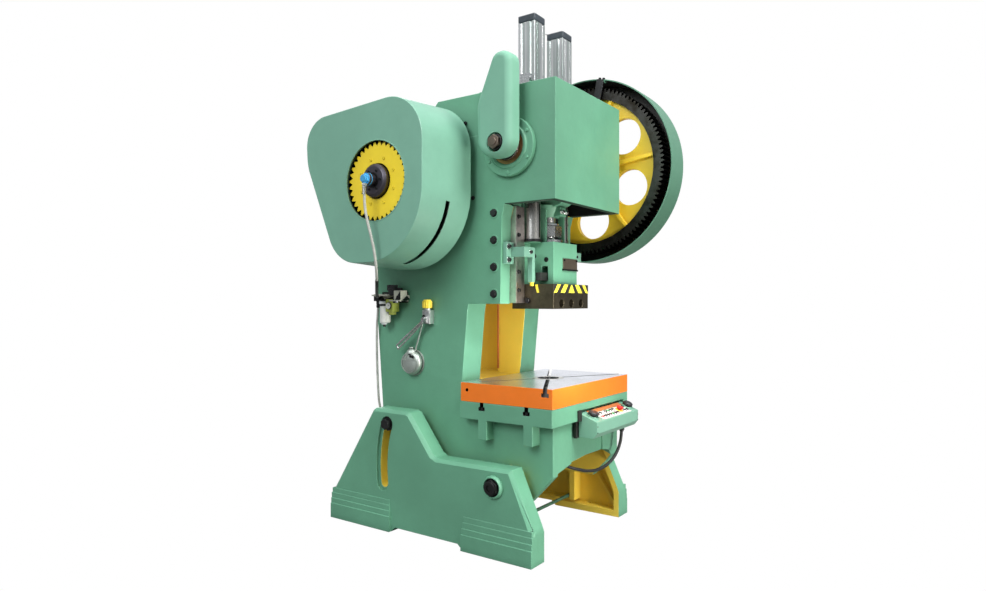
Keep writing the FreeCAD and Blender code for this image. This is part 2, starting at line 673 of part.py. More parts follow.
# ================================================================ crankshaft and gear
b = Build("crankshaft")
J = D("journal_radius")
b.turn("X", (D("crank_y"), D("crank_z")), [(-478, 0), (-478, 36), (-476, 38), (-386, 38), (-386, J - 4), (-384, J), (-110, J), (-110, 115), (-62, 115), (-62, 0)])
b.turn("X", (D("crank_y"), D("crank_z")), [(62, 0), (62, 115), (110, 115), (110, J), (385, J), (385, 60), (572, 60), (572, 0)])
b.pad("YZ", -63, 63, ("c", D("crank_y"), D("crank_z") - D("throw"), D("pin_radius")))


def involute_gear(z, m, x0, width, yc, zc, start_deg, thin):
    """Spur gear outline: involute flanks at 20 degrees, a tooth centred at start_deg."""
    rp = m * z / 2.0
    rb = rp * math.cos(math.radians(20))
    ra, rf = rp + m, rp - 1.25 * m
    inv = lambda a: math.tan(a) - a
    half_p = math.pi / (2 * z) - thin / (2 * rp)
    pts = []
    for k in range(z):
        c = math.radians(start_deg) + 2 * math.pi * k / z
        flank = []
        for i in range(6):
            r = max(rb, rf) + (ra - max(rb, rf)) * i / 5.0
            al = math.acos(min(1.0, rb / r))
            th = half_p + inv(math.radians(20)) - inv(al)
            flank.append((r, th))
        root_th = flank[0][1] + 0.0
        row = [(rf, root_th)] + flank
        for r, th in [(r, -t) for r, t in row]:
            pts.append((r, c + th))
        for r, th in reversed(row):
            pts.append((r, c + th))
    vs = [V(x0, yc + r * math.cos(a), zc + r * math.sin(a)) for r, a in pts]
    clean = [vs[0]]
    for p in vs[1:]:
        if (p - clean[-1]).Length > 1e-3:
            clean.append(p)
    wire = Part.makePolygon(clean + [clean[0]])
    return Part.Face(wire).extrude(V(width, 0, 0))


cy, cz, sy, sz = VAL["crank_y"], VAL["crank_z"], VAL["shaft_y"], VAL["shaft_z"]
line = math.degrees(math.atan2(sz - cz, sy - cy))
gx, gw, mod = VAL["gear_left_x"], VAL["gear_width"], VAL["gear_module"]
teeth = involute_gear(int(VAL["gear_teeth"]), mod, gx, gw, cy, cz, line, 0.35)
at = V(0, cy, cz)
X1 = V(1, 0, 0)
rim_hole = Part.makeCylinder(405, gw + 4, V(gx - 2, cy, cz), X1)
rim = teeth.cut(rim_hole)
rim_inner = Part.makeCylinder(407, 34, V(gx + 26, cy, cz), X1)
hub = Part.makeCylinder(105, 150, V(gx - 12, cy, cz), X1)
web = rim_inner.fuse(hub)
bore = Part.makeCylinder(60.0, 200, V(gx - 20, cy, cz), X1)
holes = []
for k in range(6):
    a = math.radians(202.4 + 60 * k)
    holes.append(Part.makeCylinder(98, 60, V(gx + 14, cy + 284 * math.cos(a), cz + 284 * math.sin(a)), X1))
gear = rim.fuse(web).cut(Part.makeCompound(holes)).cut(bore).removeSplitter()
node("bull_gear", feature(gear))

# gear guard: a rolled band round the gear, widened to take the pinion, on four stays
R = VAL["band_radius"]
bx, bw = VAL["band_left_x"], VAL["band_width"]
dist = math.hypot(sy - cy, sz - cz)
rp = 122.0
ang = math.acos((R - rp) / dist)
la = math.radians(line)


def teardrop(r1, r2, x):
    """Wire round the big circle and the small one, joined by their outer tangents."""
    k = math.acos((r1 - r2) / dist)
    pt = lambda y, z, r, a: V(x, y + r * math.cos(a), z + r * math.sin(a))
    a1, a2 = la + k, la - k
    big = Part.Arc(pt(cy, cz, r1, a1), pt(cy, cz, r1, la + math.pi), pt(cy, cz, r1, a2)).toShape()
    small = Part.Arc(pt(sy, sz, r2, a2), pt(sy, sz, r2, la), pt(sy, sz, r2, a1)).toShape()
    l1 = Part.LineSegment(pt(cy, cz, r1, a2), pt(sy, sz, r2, a2)).toShape()
    l2 = Part.LineSegment(pt(sy, sz, r2, a1), pt(cy, cz, r1, a1)).toShape()
    return Part.Wire([big, l1, small, l2])


outer = Part.Face(teardrop(R, rp, bx)).extrude(V(bw, 0, 0))
inner = Part.Face(teardrop(R - 7, rp - 7, bx - 1)).extrude(V(bw + 2, 0, 0))
band = outer.cut(inner)
# inward flange on the outer edge
lip_o = Part.Face(teardrop(R - 3, rp - 3, bx + bw - 6)).extrude(V(6, 0, 0))
lip_i = Part.Face(teardrop(R - 60, rp - 60, bx + bw - 7)).extrude(V(8, 0, 0))
band = band.fuse(lip_o.cut(lip_i))
stays = []
for yy, zz, x_in in ((-480, 2140, VAL["frame_half"]), (-120, 2130, VAL["frame_half"] - 7), (-300, 1520, VAL["frame_half"])):
    # a block on the frame's side, a flat bar outward past the gear, and a tab to the band
    ry_, rz_ = yy - cy, zz - cz
    L = math.hypot(ry_, rz_)
    a = math.atan2(rz_, ry_)
    stays.append(Part.makeBox(bx - 6 - x_in, 44, 44, V(x_in, yy - 22, zz - 22)))
    reach = R - 4
    bar = Part.makeBox(9, reach - L + 24, 44, V(bx - 15, -24, -22))
    tab = Part.makeBox(34, 16, 44, V(bx - 15, reach - L - 16, -22))
    for piece in (bar, tab):
        piece.rotate(V(0, 0, 0), X1, math.degrees(a))
        piece.translate(V(0, yy, zz))
        stays.append(piece.common(Part.makeCylinder(R - 1, 200, V(bx - 40, cy, cz), X1)))
for s_ in stays:
    band = band.fuse(s_)
node("gear_guard", feature(band.removeSplitter()))

# ================================================================ drive shaft, pinion, flywheel, clutch
b = Build("drive_shaft_blank", False)
S = D("shaft_radius")
b.turn("X", (D("shaft_y"), D("shaft_z")), [(-700, 0), (-700, 30), (-662, 30), (-662, 40), (-400, 40), (-400, S), (398, S), (398, 70), (528, 70), (528, 40), (546, 40), (546, 0)])
pin = involute_gear(int(VAL["pinion_teeth"]), mod, gx - 6, gw + 12, sy, sz, line + 180 + 180.0 / VAL["pinion_teeth"], 0.35)
pin = pin.cut(Part.makeCylinder(60.0, 300, V(gx - 40, sy, sz), X1))
node("pinion_shaft", fuse(b.body, feature(pin)))
for label, s in (("shaft_bearing_left", -1), ("shaft_bearing_right", 1)):
    x0 = H - 50 if s > 0 else -H - 10
    flange = H if s > 0 else -H - 10
    node(label, cut(fuse(cyl("X", x0, D("shaft_y"), D("shaft_z"), 85, 60), cyl("X", flange, D("shaft_y"), D("shaft_z"), 112, 10)),
                    cyl("X", x0 - 1, D("shaft_y"), D("shaft_z"), D("shaft_radius") + 0.05, 62)))

b = Build("flywheel")
F, fx, fw = D("flywheel_radius"), D("flywheel_left_x"), D("flywheel_width")
prof = [(fx, F - 46), (fx, F)]
for k in range(5):
    g0 = fx + 10 + 22.5 * k
    prof += [(g0, F), (g0 + 5, F - 14), (g0 + 13, F - 14), (g0 + 18, F)]
prof += [(fx + fw, F), (fx + fw, F - 46), (fx + fw - 36, F - 46), (fx + fw - 36, 100), (fx + fw - 4, 96), (fx + fw - 4, 40.4),
         (fx + 4, 40.4), (fx + 4, 96), (fx + 34, 100), (fx + 34, F - 46)]
b.turn("X", (D("shaft_y"), D("shaft_z")), prof)

b = Build("clutch_ring")
b.turn("X", (D("shaft_y"), D("shaft_z")), [(-710, 84), (-710, 134), (-705, 139), (-705, 178), (-692, 185), (-566, 185), (-566, 150), (-640, 150), (-640, 84)])
b = Build("clutch_hub")
b.turn("X", (D("shaft_y"), D("shaft_z")), [(-742, 31), (-742, 66), (-732, 79), (-640, 79), (-640, 146), (-572, 146), (-572, 41), (-662, 41), (-662, 31)])
node("rotary_union", fuse(cyl("X", -745, D("shaft_y"), D("shaft_z"), 24, 42.5), cyl("X", -788, D("shaft_y"), D("shaft_z"), 28, 45),
                          hexa("X", -799, D("shaft_y"), D("shaft_z"), 40, 14), cyl("X", -808, D("shaft_y"), D("shaft_z"), 16, 20),
                          cyl("Z", -795, D("shaft_y"), 1704, 9, 41)))

# flywheel guard: pressed shell, face outboard, open to the frame
FACE = [(sy + 494, sz + 349, 140), (sy - 294, sz + 394, 215), (sy - 294, sz - 385, 345), (sy + 262, sz - 385, 200), (sy + 479, sz + 120, 250)]
gf, gr = VAL["guard_face_x"], VAL["guard_rim_x"]
t = 6.0
loft_o = Part.makeLoft([rounded(FACE, gf), rounded(grown(FACE, 21), gr)], True, True)
loft_i = Part.makeLoft([rounded(grown(FACE, -t), gf + t), rounded(grown(FACE, 21 - t), gr + 0.0)], True, True)
extra = slab(grown(FACE, 21 - t), gr - 0.01, gr + 10)
guard = loft_o.cut(loft_i).cut(extra)
guard = guard.cut(Part.makeCylinder(190, 40, V(gf - 10, sy, sz), X1))
# rolled rim inside the round opening
guard = guard.fuse(Part.makeCylinder(196, 16, V(gf, sy, sz), X1).cut(Part.makeCylinder(190, 40, V(gf - 10, sy, sz), X1)))
# long slot in the rounded lower corner of the front wall
arc = [(math.radians(190.0 + 68.0 * k / 16.0)) for k in range(17)]
arc_pts = [(sy + 51 + 300 * math.cos(a), sz - 40 + 300 * math.sin(a)) for a in arc]
arc_pts += [(sy + 51 + 410 * math.cos(a), sz - 40 + 410 * math.sin(a)) for a in reversed(arc)]
arc_pts = [V(-562, y_, z_) for y_, z_ in arc_pts]
slot = Part.Face(Part.makePolygon(arc_pts + [arc_pts[0]])).extrude(V(24, 0, 0))
guard = guard.cut(slot)
# brackets to the frame's side
for yy, zz in ((sy - 150, sz - 230), (sy - 150, sz + 100), (sy + 230, sz - 216)):
    guard = guard.fuse(Part.makeBox(abs(gr) - VAL["frame_half"] + 8, 30, 30, V(gr - 8, yy - 15, zz - 15)))
    # each bracket is a bar that spans to the shell wall
back = [(sy - 280, sy + 250, sz - 230), (sy - 290, sy + 200, sz + 100)]
for ya, yb, zz in back:
    bar = Part.makeBox(8, 1400, 40, V(gr - 8, ya - 400, zz - 20))
    bar = bar.common(slab(grown(FACE, 18), gr - 20, gr + 20))
    bar = bar.cut(Part.makeCylinder(118, 60, V(gr - 30, sy, sz), X1))
    guard = guard.fuse(bar)
guard = guard.removeSplitter()
node("flywheel_guard", feature(guard))

# motor: ribbed barrel, end shields and terminal box on the frame's shelf
my, mz = D("motor_y"), D("motor_z")
motor = fuse(cyl("X", -330, my, mz, 112, 300), cyl("X", -352, my, mz, 100, 24), cyl("X", -32, my, mz, 104, 62),
                   box(-300, -70, my - 100, my + 100, 1778, 1808), box(-290, -80, my - 70, my + 70, 1806, 1860),
                   box(-250, -130, my - 60, my + 60, mz + 90, mz + 150))
node("motor", cut(motor, cyl("X", -360, my, mz, 19.05, 80)))
b = Build("motor_pulley")
P = D("pulley_radius")
prof = [(fx, 19), (fx, P)]
for k in range(5):
    g0 = fx + 10 + 22.5 * k
    prof += [(g0, P), (g0 + 5, P - 14), (g0 + 13, P - 14), (g0 + 18, P)]
prof += [(fx + fw, P), (fx + fw, 19)]
b.turn("X", (my, mz), prof)
node("motor_shaft", cyl("X", -570, my, mz, 19, 288))

# belts: closed loops round both pulleys, a hair clear of their grooves
fy0, fz0 = sy, sz
my0, mz0 = VAL["motor_y"], VAL["motor_z"]
dd = math.hypot(my0 - fy0, mz0 - fz0)
lb = math.atan2(mz0 - fz0, my0 - fy0)


def belt_wire(r1, r2, x):
    k = math.acos((r1 - r2) / dd)
    pt = lambda y, z, r, a: V(x, y + r * math.cos(a), z + r * math.sin(a))
    a1, a2 = lb + k, lb - k
    return Part.Wire([Part.Arc(pt(fy0, fz0, r1, a1), pt(fy0, fz0, r1, lb + math.pi), pt(fy0, fz0, r1, a2)).toShape(),
                      Part.LineSegment(pt(fy0, fz0, r1, a2), pt(my0, mz0, r2, a2)).toShape(),
                      Part.Arc(pt(my0, mz0, r2, a2), pt(my0, mz0, r2, lb), pt(my0, mz0, r2, a1)).toShape(),
                      Part.LineSegment(pt(my0, mz0, r2, a1), pt(fy0, fz0, r1, a1)).toShape()])


belts = []
fr, pr = VAL["flywheel_radius"], VAL["pulley_radius"]
for k in range(5):
    g0 = VAL["flywheel_left_x"] + 10 + 22.5 * k
    xa = g0 + 6.2
    lo_ = Part.Face(belt_wire(fr + 1, pr + 1, xa)).extrude(V(5.6, 0, 0))
    li_ = Part.Face(belt_wire(fr - 13.4, pr - 13.4, xa - 1)).extrude(V(7.6, 0, 0))
    belts.append(lo_.cut(li_))
node("drive_belts", feature(Part.makeCompound(belts)))

# ================================================================ crank end cover
EAR = [(cy - 84, cz + 420, 57), (cy + 14, cz + 420, 52), (cy + 112, cz + 190, 120), (cy + 106, cz - 62, 84), (cy - 84, cz - 62, 80)]


def domed(points, x_in, x_out, soft, steps=5):
    """A shallow casting: straight sides from x_in, then a rounded edge of radius soft up to x_out."""
    levels = [(x_in, 0.0), (x_out + soft, 0.0)]
    for k in range(1, steps + 1):
        a = math.pi / 2 * k / steps
        levels.append((x_out + soft * (1 - math.sin(a)), -soft * (1 - math.cos(a))))
    return Part.makeLoft([rounded(grown(points, d), x) for x, d in levels], True, True)


ear = domed(EAR, -398, -480, 34)
ear = ear.cut(domed(grown(EAR, -7), -397, -473, 27))
ear = ear.cut(Part.makeCylinder(44, 60, V(-500, cy, cz), X1))
for dy, dz in ((-30, 340), (10, 190)):
    ear = ear.fuse(Part.makeCylinder(15, 476 - 341, V(-476, cy + dy, cz + dz), X1))
node("crank_end_cover", feature(ear))

# ================================================================ slide and its linkage
SH, SF, SL = D("slide_half"), D("slide_front_y"), D("slide_low_z")
b = Build("slide")
b.pad("XY", SL, 1470, rect(-SH, SH, SF, -330))
# rails with their V edges, guided in the gibs
rail = [(-SH, -397), (-180.6, -397), (-180.6, -382), (-219.5, -360.5), (-180.6, -339), (-180.6, -322), (180.6, -322), (180.6, -339),
        (219.5, -360.5), (180.6, -382), (180.6, -397), (SH, -397), (SH, -360), (-SH, -360)]
b.pad("XY", SL, 1700, rail)
# upper part: two round posts in front of the rails' back wall
b.pad("XY", 1469, 1685, ("c", 139, -424, 40), ("c", -139, -424, 40))
# socket for the ball, open above, with room for the screw
b.pocket("XY", 1362, 1701, ("c", 0, D("crank_y"), 70))
b.pocket("XY", 1400, 1701, rect(-98, 98, -508, -352))
# room for the rod head at the top of the back wall
b.pocket("XY", 1630, 1702, rect(-72, 72, -362, -320))
# slot for the knock-out bar and the blind hole for the die shank
b.pocket("YZ", -SH - 2, SH + 2, rect(-500, -464, 1276, 1350))
# tapped holes for the cylinder rods in the back wall
b.pocket("XY", 1650, 1702, ("c", D("cyl_x"), -338, 8), ("c", -D("cyl_x"), -338, 8))

node("clamp_block", cut(box(-D("block_half"), D("block_half"), D("block_front_y"), -328, D("block_low_z"), D("slide_low_z")),
                        cyl("Z", 0, D("crank_y"), D("block_low_z") - 1, 25, 90),
                        *[cyl("Y", x, D("block_front_y") - 1, 1165, 21, 70) for x in (-100, 0, 100)]))

# connecting rod: the window over the crankpin is lengthened, so that the slide and the crank can be moved apart
mid_low = cz - VAL["throw"] - VAL["pin_radius"] - VAL["stroke"] - 4
mid_top = cz + VAL["throw"] + VAL["pin_radius"] + 4
rw = VAL["throw"] + VAL["pin_radius"] + 4
rod_o = [(cy - 148, mid_low - 40, 90), (cy - 148, mid_top + 26, 120), (cy + 148, mid_top + 26, 120), (cy + 148, mid_low - 40, 90)]
rod_i = [(cy - rw, mid_low, 60), (cy - rw, mid_top, 100), (cy + rw, mid_top, 100), (cy + rw, mid_low, 60)]
rod = slab(rod_o, -52, 52).cut(slab(rod_i, -60, 60))
neck = Part.makeCone(56, 80, 62, V(0, cy, mid_low - 92), V(0, 0, 1))
neck = neck.fuse(Part.makeBox(60, 40, 44, V(-30, cy - 92, mid_low - 88)))
neck = neck.cut(Part.makeBox(300, 300, 200, V(-150, cy - 150, mid_low - 20)))
rod = rod.fuse(neck).cut(Part.makeCylinder(40, 120, V(0, cy, mid_low - 100), V(0, 0, 1)))
rod = rod.cut(slab(rod_i, -60, 60))
node("connecting_rod", feature(rod.removeSplitter()))
ztop = mid_low - 6
b = Build("ball_screw")
b.turn("Z", (0, D("crank_y")), [(1363, 0), (1363, 20), (1374, 44), (1392, 56), (1412, 60), (1432, 54), (1448, 38), (1458, 34), (1472, 39.9), (ztop, 39.9), (ztop, 0)])
node("lock_nut", cut(hexa("Z", 0, D("crank_y"), 1502, 122, 58), cyl("Z", 0, D("crank_y"), 1500, 40, 62)))

# knock-out bar through the slide, and the stops it meets near the top of the stroke
node("knockout_bar", box(-180, 180, -497, -467, 1277, 1317))
for label, s in (("stop_bracket_left", -1), ("stop_bracket_right", 1)):
    def across(a, c):
        return (min(a * s, c * s), max(a * s, c * s))
    plate = box(*across(262, 326), -394, -373, 1356, 1462)
    arm = fuse(box(*across(262, 288), -470, -390, 1390, 1438), box(*across(190, 288), -470, -444, 1390, 1438))
    finger = box(*across(190, 214), -470, -442, 1268, 1392)
    tip = cyl("Z", 201 * s, -458, 1250, 9, 20)
    node(label, cut(fuse(plate, arm, finger, tip), cyl("Y", 307 * s, -400, 1376, 6, 40), cyl("Y", 307 * s, -400, 1440, 6, 40)))

# balance cylinders on the crown, their rods pull the slide up
for label, s in (("left", -1), ("right", 1)):
    cx = D("cyl_x") if s > 0 else -D("cyl_x")
    hs = D("cyl_size") * 0.5
    zt, cap = D("cyl_top_z"), D("cyl_cap")
    Y0 = D("cyl_y")
    tube = box(cx - hs, cx + hs, Y0 - hs, Y0 + hs, D("crown_top_z"), zt - cap)
    grooves = []
    for sx in (-1, 1):
        grooves.append(box(cx + hs * sx - 5, cx + hs * sx + 5, Y0 - 30, Y0 - 22, D("crown_top_z") + 30, zt))
        grooves.append(box(cx + hs * sx - 5, cx + hs * sx + 5, Y0 + 22, Y0 + 30, D("crown_top_z") + 30, zt))
        grooves.append(box(cx - 30, cx - 22, Y0 + hs * sx - 5, Y0 + hs * sx + 5, D("crown_top_z") + 30, zt))
        grooves.append(box(cx + 22, cx + 30, Y0 + hs * sx - 5, Y0 + hs * sx + 5, D("crown_top_z") + 30, zt))
    node("cylinder_tube_" + label, cut(tube, cyl("Z", cx, Y0, D("crown_top_z") + 20, 40, 400), cyl("Z", cx, Y0, D("crown_top_z") - 1, 12.05, 30), *grooves))
    node("cylinder_cap_" + label, cut(box(cx - hs - 1, cx + hs + 1, Y0 - hs - 1, Y0 + hs + 1, zt - cap, zt),
                                      *[cyl("Z", cx + a * 34, Y0 + c * 34, zt - 6, 6, 8) for a in (-1, 1) for c in (-1, 1)]))
    # the rod is cranked back behind the journal on its way down to the slide
    node("cylinder_rod_" + label, fuse(cyl("Z", cx, Y0, 1990, 12, 255), cyl("Z", cx, Y0, 2222, 39.5, 24), box(cx - 16, cx + 16, Y0 - 16, -322, 1985, 2011),
                                       cyl("Z", cx, -338, 1700, 12, 290), cyl("Z", cx, -338, 1700, 15, 12)))

# ================================================================ air unit on the left side, behind
fl = -VAL["frame_half"]
node("air_valve", fuse(box(fl - 44, fl, 214, 392, 1186, 1208), box(fl - 72, fl - 20, 214, 262, 1172, 1232), box(fl - 60, fl - 14, 356, 420, 1176, 1214),
                       cyl("Z", fl - 38, 408, 1159, 10, 19), feature(bar_between((-390, 402.2, 1194.6), (-415, 378, 1197), 10))))
node("air_regulator", fuse(box(fl - 74, fl - 22, 268, 318, 1120, 1186), cyl("Z", fl - 48, 293, 1104, 20, 20)))
node("regulator_knob", fuse(cyl("Z", fl - 48, 293, 1208.4, 21, 34), cyl("Z", fl - 48, 293, 1208.4, 14, 2)))
node("filter_bowl", fuse(cyl("Z", fl - 48, 352, 1060, 24, 116), cyl("Z", fl - 48, 352, 1052, 16, 10), cyl("Z", fl - 48, 352, 1160, 28, 16)))

# hand oil pump, its lever, and the round oil pot
node("pump_body", cut(fuse(box(fl - 36, fl, 46, 96, 1060, 1130), cyl("Z", fl - 26, 70, 1128, 17, 12), box(fl - 46, fl - 34, 60, 84, 1066, 1096)),
                      cyl("X", fl - 60, 72, 1081, 6.05, 40)))
node("pump_cap", fuse(cyl("Z", fl - 26, 70, 1140, 24, 38), cyl("Z", fl - 26, 70, 1176, 19, 8)))
pot = Build("oil_pot_body", False)
pot.turn("X", (180, 855), [(fl, 0), (fl, 50), (fl - 5, 58), (fl - 14, 63.5), (fl - 26, 63.5), (fl - 36, 58), (fl - 43, 46), (fl - 47, 28), (fl - 48, 12), (fl - 48, 0)])
node("oil_pot", fuse(pot.body, cyl("Z", fl - 24, 180, 912, 10, 22), cyl("Z", fl - 24, 180, 930, 13, 7),
                     feature(bar_between((fl - 22, 160, 905), (fl - 22, 104, 1064), 4)), ball(fl - 22, 104, 1064, 4),
                     feature(bar_between((fl - 22, 104, 1064), (fl - 22, 96.8, 1064), 4))))


lev = bar_between((fl - 53, 72, 1081), (fl - 53, 235, 960), 5)
lev = lev.fuse(bar_between((fl - 53, 235, 960), (fl - 53, 256, 944), 5)).fuse(Part.makeSphere(5, V(fl - 53, 235, 960)))
lev = lev.fuse(bar_between((fl - 53, 256, 944), (fl - 53, 246, 926), 5)).fuse(Part.makeSphere(5, V(fl - 53, 256, 944)))
lev = lev.fuse(bar_between((fl - 53, 246, 926), (fl - 53, 86, 1058), 5)).fuse(Part.makeSphere(5, V(fl - 53, 246, 926)))
lev = lev.fuse(Part.makeCylinder(14, 12, V(fl - 59, 72, 1081), X1)).fuse(bar_between((fl - 53, 86, 1058), (fl - 53, 76, 1074), 5))
lev = lev.fuse(Part.makeSphere(5, V(fl - 53, 86, 1058)))
lev = lev.fuse(Part.makeCylinder(6, 24, V(fl - 50, 72, 1081), X1))
node("pump_lever", feature(lev.removeSplitter()))

# ================================================================ two-hand control desk
b = Build("desk_shell", False)
cxl, cxr = -132, 345
b.pad("YZ", cxl, cxr, [(-680, 525), (-680, 640), (-777, 604), (-777, 550), (-757, 525)])
b.pocket("YZ", cxl + 4, cxr - 4, [(-684, 529), (-684, 634), (-773, 601), (-773, 552), (-755, 529)])
TY, TZ = -97 / math.hypot(97, 36), -36 / math.hypot(97, 36)      # down the sloping top
UP = V(0, TZ, -TY)                                               # square to it


def on_top(x, along, lift=0.0):
    return V(x, -680 + TY * along + UP.y * lift, 640 + TZ * along + UP.z * lift)


def stud(x, along, lo, hi, r):
    """Cylinder square to the sloping top, from height lo to height hi over it."""
    o = doc.addObject("Part::Cylinder", nid("Stud"))
    o.Radius = r
    o.Height = hi - lo
    o.Placement = FreeCAD.Placement(on_top(x, along, lo), ROT(V(0, 0, 1), UP))
    return o


def plate_on_top(x0, x1, a0, a1, lo, hi):
    pts = [on_top(x0, a0, lo), on_top(x0, a1, lo), on_top(x0, a1, hi), on_top(x0, a0, hi)]
    return feature(Part.Face(Part.makePolygon(pts + [pts[0]])).extrude(V(x1 - x0, 0, 0)))


PALM = [("palm_button_left", -90, 54), ("palm_button_right", 302, 54)]
STOP = (186, 64)
back = fuse(b.body, box(-118, -82, -681, -650, 560, 600), box(262, 298, -681, -659, 560, 600), cyl("Z", 268, -718, 513, 11, 14),
            *[cut(stud(x, a, -1, 9, 30), stud(x, a, -2, 11, 27)) for _, x, a in PALM])
node("control_box", cut(back, *[stud(x, a, -12, 4, 12.05) for _, x, a in PALM], stud(STOP[0], STOP[1], -12, 4, 8.05)))
node("control_panel", cut(plate_on_top(-48, 270, 34, 98, 0, 3), stud(STOP[0], STOP[1], -2, 6, 8.05)))
for label, x, a in PALM:
    node(label, fuse(stud(x, a, -14, 12.5, 12), stud(x, a, 12, 24, 26), stud(x, a, 24, 28, 20), stud(x, a, -20, -13.9, 15)))
node("stop_button", fuse(stud(STOP[0], STOP[1], -14, 12.5, 8), stud(STOP[0], STOP[1], 12, 22, 17), stud(STOP[0], STOP[1], -20, -13.9, 11)))

# ================================================================ hoses and the control cable
def tube(label, pts, dia, axis):
    """Straight runs joined by tangent arcs as large as the runs allow."""
    P_ = [V(*p) for p in pts]
    edges, last, radii = [], P_[0], []
    for i in range(1, len(P_) - 1):
        a, p, c = P_[i - 1], P_[i], P_[i + 1]
        u, w = a - p, c - p
        short = min(u.Length, w.Length)
        u.normalize()
        w.normalize()
        half = math.acos(max(-1.0, min(1.0, u.dot(w)))) / 2.0
        turn = math.pi - 2 * half
        tl = 0.45 * short
        r = tl / math.tan(turn / 2.0)
        radii.append(round(r))
        mid = u + w
        mid.normalize()
        s0, s1 = p + u * tl, p + w * tl
        m = p + mid * (math.hypot(r, tl) - r)
        edges.append(Part.LineSegment(last, s0).toShape())
        edges.append(Part.Arc(s0, m, s1).toShape())
        last = s1
    edges.append(Part.LineSegment(last, P_[-1]).toShape())
    path = Part.Wire(edges)
    d = P_[1] - P_[0]
    ring_ = Part.Wire([Part.Circle(P_[0], d, dia / 2.0).toShape()])
    sh = path.makePipeShell([ring_], True, False)
    if sh.ShapeType != "Solid":
        sh = Part.Solid(Part.Shell(sh.Faces))
    if sh.Volume < 0:
        sh.reverse()
    print("%-14s length %.0f  radii %s  diameters %.1f  volume ratio %.4f" % (
        label, path.Length, radii, min(radii) / dia, sh.Volume / (path.Length * math.pi * dia * dia / 4)))
    node(label, feature(sh))


UNION_HOSE = [(-795, 85.4, 1704), (-796, 86, 1630), (-788, 75, 1550), (-777, 58, 1472), (-764, 50, 1400), (-744, 58, 1325), (-700, 99, 1262),
              (-630, 169, 1228), (-545, 253, 1212), (-470, 325, 1203), (-415, 378, 1197)]
SUPPLY_HOSE = [(-379, 408, 1158), (-377, 413, 1105), (-367, 429, 1035), (-359, 438, 950), (-356, 439, 860), (-355, 436, 770), (-353, 433, 690),
               (-344, 436, 625), (-328, 435, 573), (-318, 432, 526)]
CABLE = [(268, -718, 512.6), (267, -717, 467), (251, -711, 414), (209, -703, 368), (142, -694, 340), (60, -682, 329), (-20, -671, 338), (-90, -654, 358),
         (-141, -625, 377), (-168, -595, 404), (-179, -580, 441), (-182.5, -571, 480), (-182, -570, 516)]
tube("union_hose", UNION_HOSE, 13, None)
tube("supply_hose", SUPPLY_HOSE, 12, None)
tube("control_cable", CABLE, 16, None)

# ================================================================ check and write
doc.recompute()
bad = []
for o in doc.Objects:
    st = [s for s in o.State if s in ("Invalid", "Error")]
    if st:
        bad.append("%s %s" % (o.Name, st))
for label, o in NODES:
    sh = o.Shape
    if sh.isNull() or not sh.isValid() or not sh.Solids:
        bad.append("%s shape null %s solids %d" % (label, sh.isNull(), 0 if sh.isNull() else len(sh.Solids)))
if bad:
    print("\n".join(bad))
    raise SystemExit("part not written")
for label, o in NODES:
    o.Shape.exportStep("parts/%s.step" % label)
    bb = o.Shape.BoundBox
    print("%-24s solids %2d  vol %9.0f cm3  X %6.0f %6.0f  Y %6.0f %6.0f  Z %6.0f %6.0f" % (
        label, len(o.Shape.Solids), o.Shape.Volume / 1e3, bb.XMin, bb.XMax, bb.YMin, bb.YMax, bb.ZMin, bb.ZMax))
print(len(NODES), "nodes")
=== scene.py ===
import math
import bpy
import bmesh
from mathutils import Matrix, Vector


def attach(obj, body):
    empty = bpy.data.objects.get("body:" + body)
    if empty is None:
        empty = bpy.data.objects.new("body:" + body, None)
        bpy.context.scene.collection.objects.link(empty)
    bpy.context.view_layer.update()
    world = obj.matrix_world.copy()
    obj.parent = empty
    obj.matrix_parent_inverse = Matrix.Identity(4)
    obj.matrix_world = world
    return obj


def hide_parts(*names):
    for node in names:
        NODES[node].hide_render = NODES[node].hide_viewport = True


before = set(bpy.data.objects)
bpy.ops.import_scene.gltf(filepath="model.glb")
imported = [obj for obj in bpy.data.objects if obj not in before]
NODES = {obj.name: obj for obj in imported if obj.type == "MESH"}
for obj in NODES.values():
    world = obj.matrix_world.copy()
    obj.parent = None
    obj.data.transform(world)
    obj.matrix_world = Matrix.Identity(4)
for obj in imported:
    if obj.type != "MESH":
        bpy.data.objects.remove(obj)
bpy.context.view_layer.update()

scene = bpy.context.scene
MM = 0.001


def P(x, y, z):
    return Vector((x, y, z)) * MM


# ================================================================ camera
cam_data = bpy.data.cameras.new("camera")
cam_data.sensor_width = 36.0
cam_data.lens = 25.086
cam_data.shift_y = 0.00596
cam_data.clip_end = 100.0
cam = bpy.data.objects.new("camera", cam_data)
scene.collection.objects.link(cam)
cam.location = (-3.056175, -2.238425, 1.175)
look = Vector((math.cos(0.614), math.sin(0.614), 0.0))
cam.rotation_euler = look.to_track_quat("-Z", "Y").to_euler()
scene.camera = cam
scene.view_settings.view_transform = "Standard"
scene.view_settings.look = "None"


# ================================================================ materials
def lin(r, g, b):
    f = lambda c: (c / 255.0 / 12.92) if c <= 10.3 else ((c / 255.0 + 0.055) / 1.055) ** 2.4
    return (f(r), f(g), f(b), 1.0)


def scaled(c, k):
    return (min(c[0] * k, 1), min(c[1] * k, 1), min(c[2] * k, 1), 1.0)


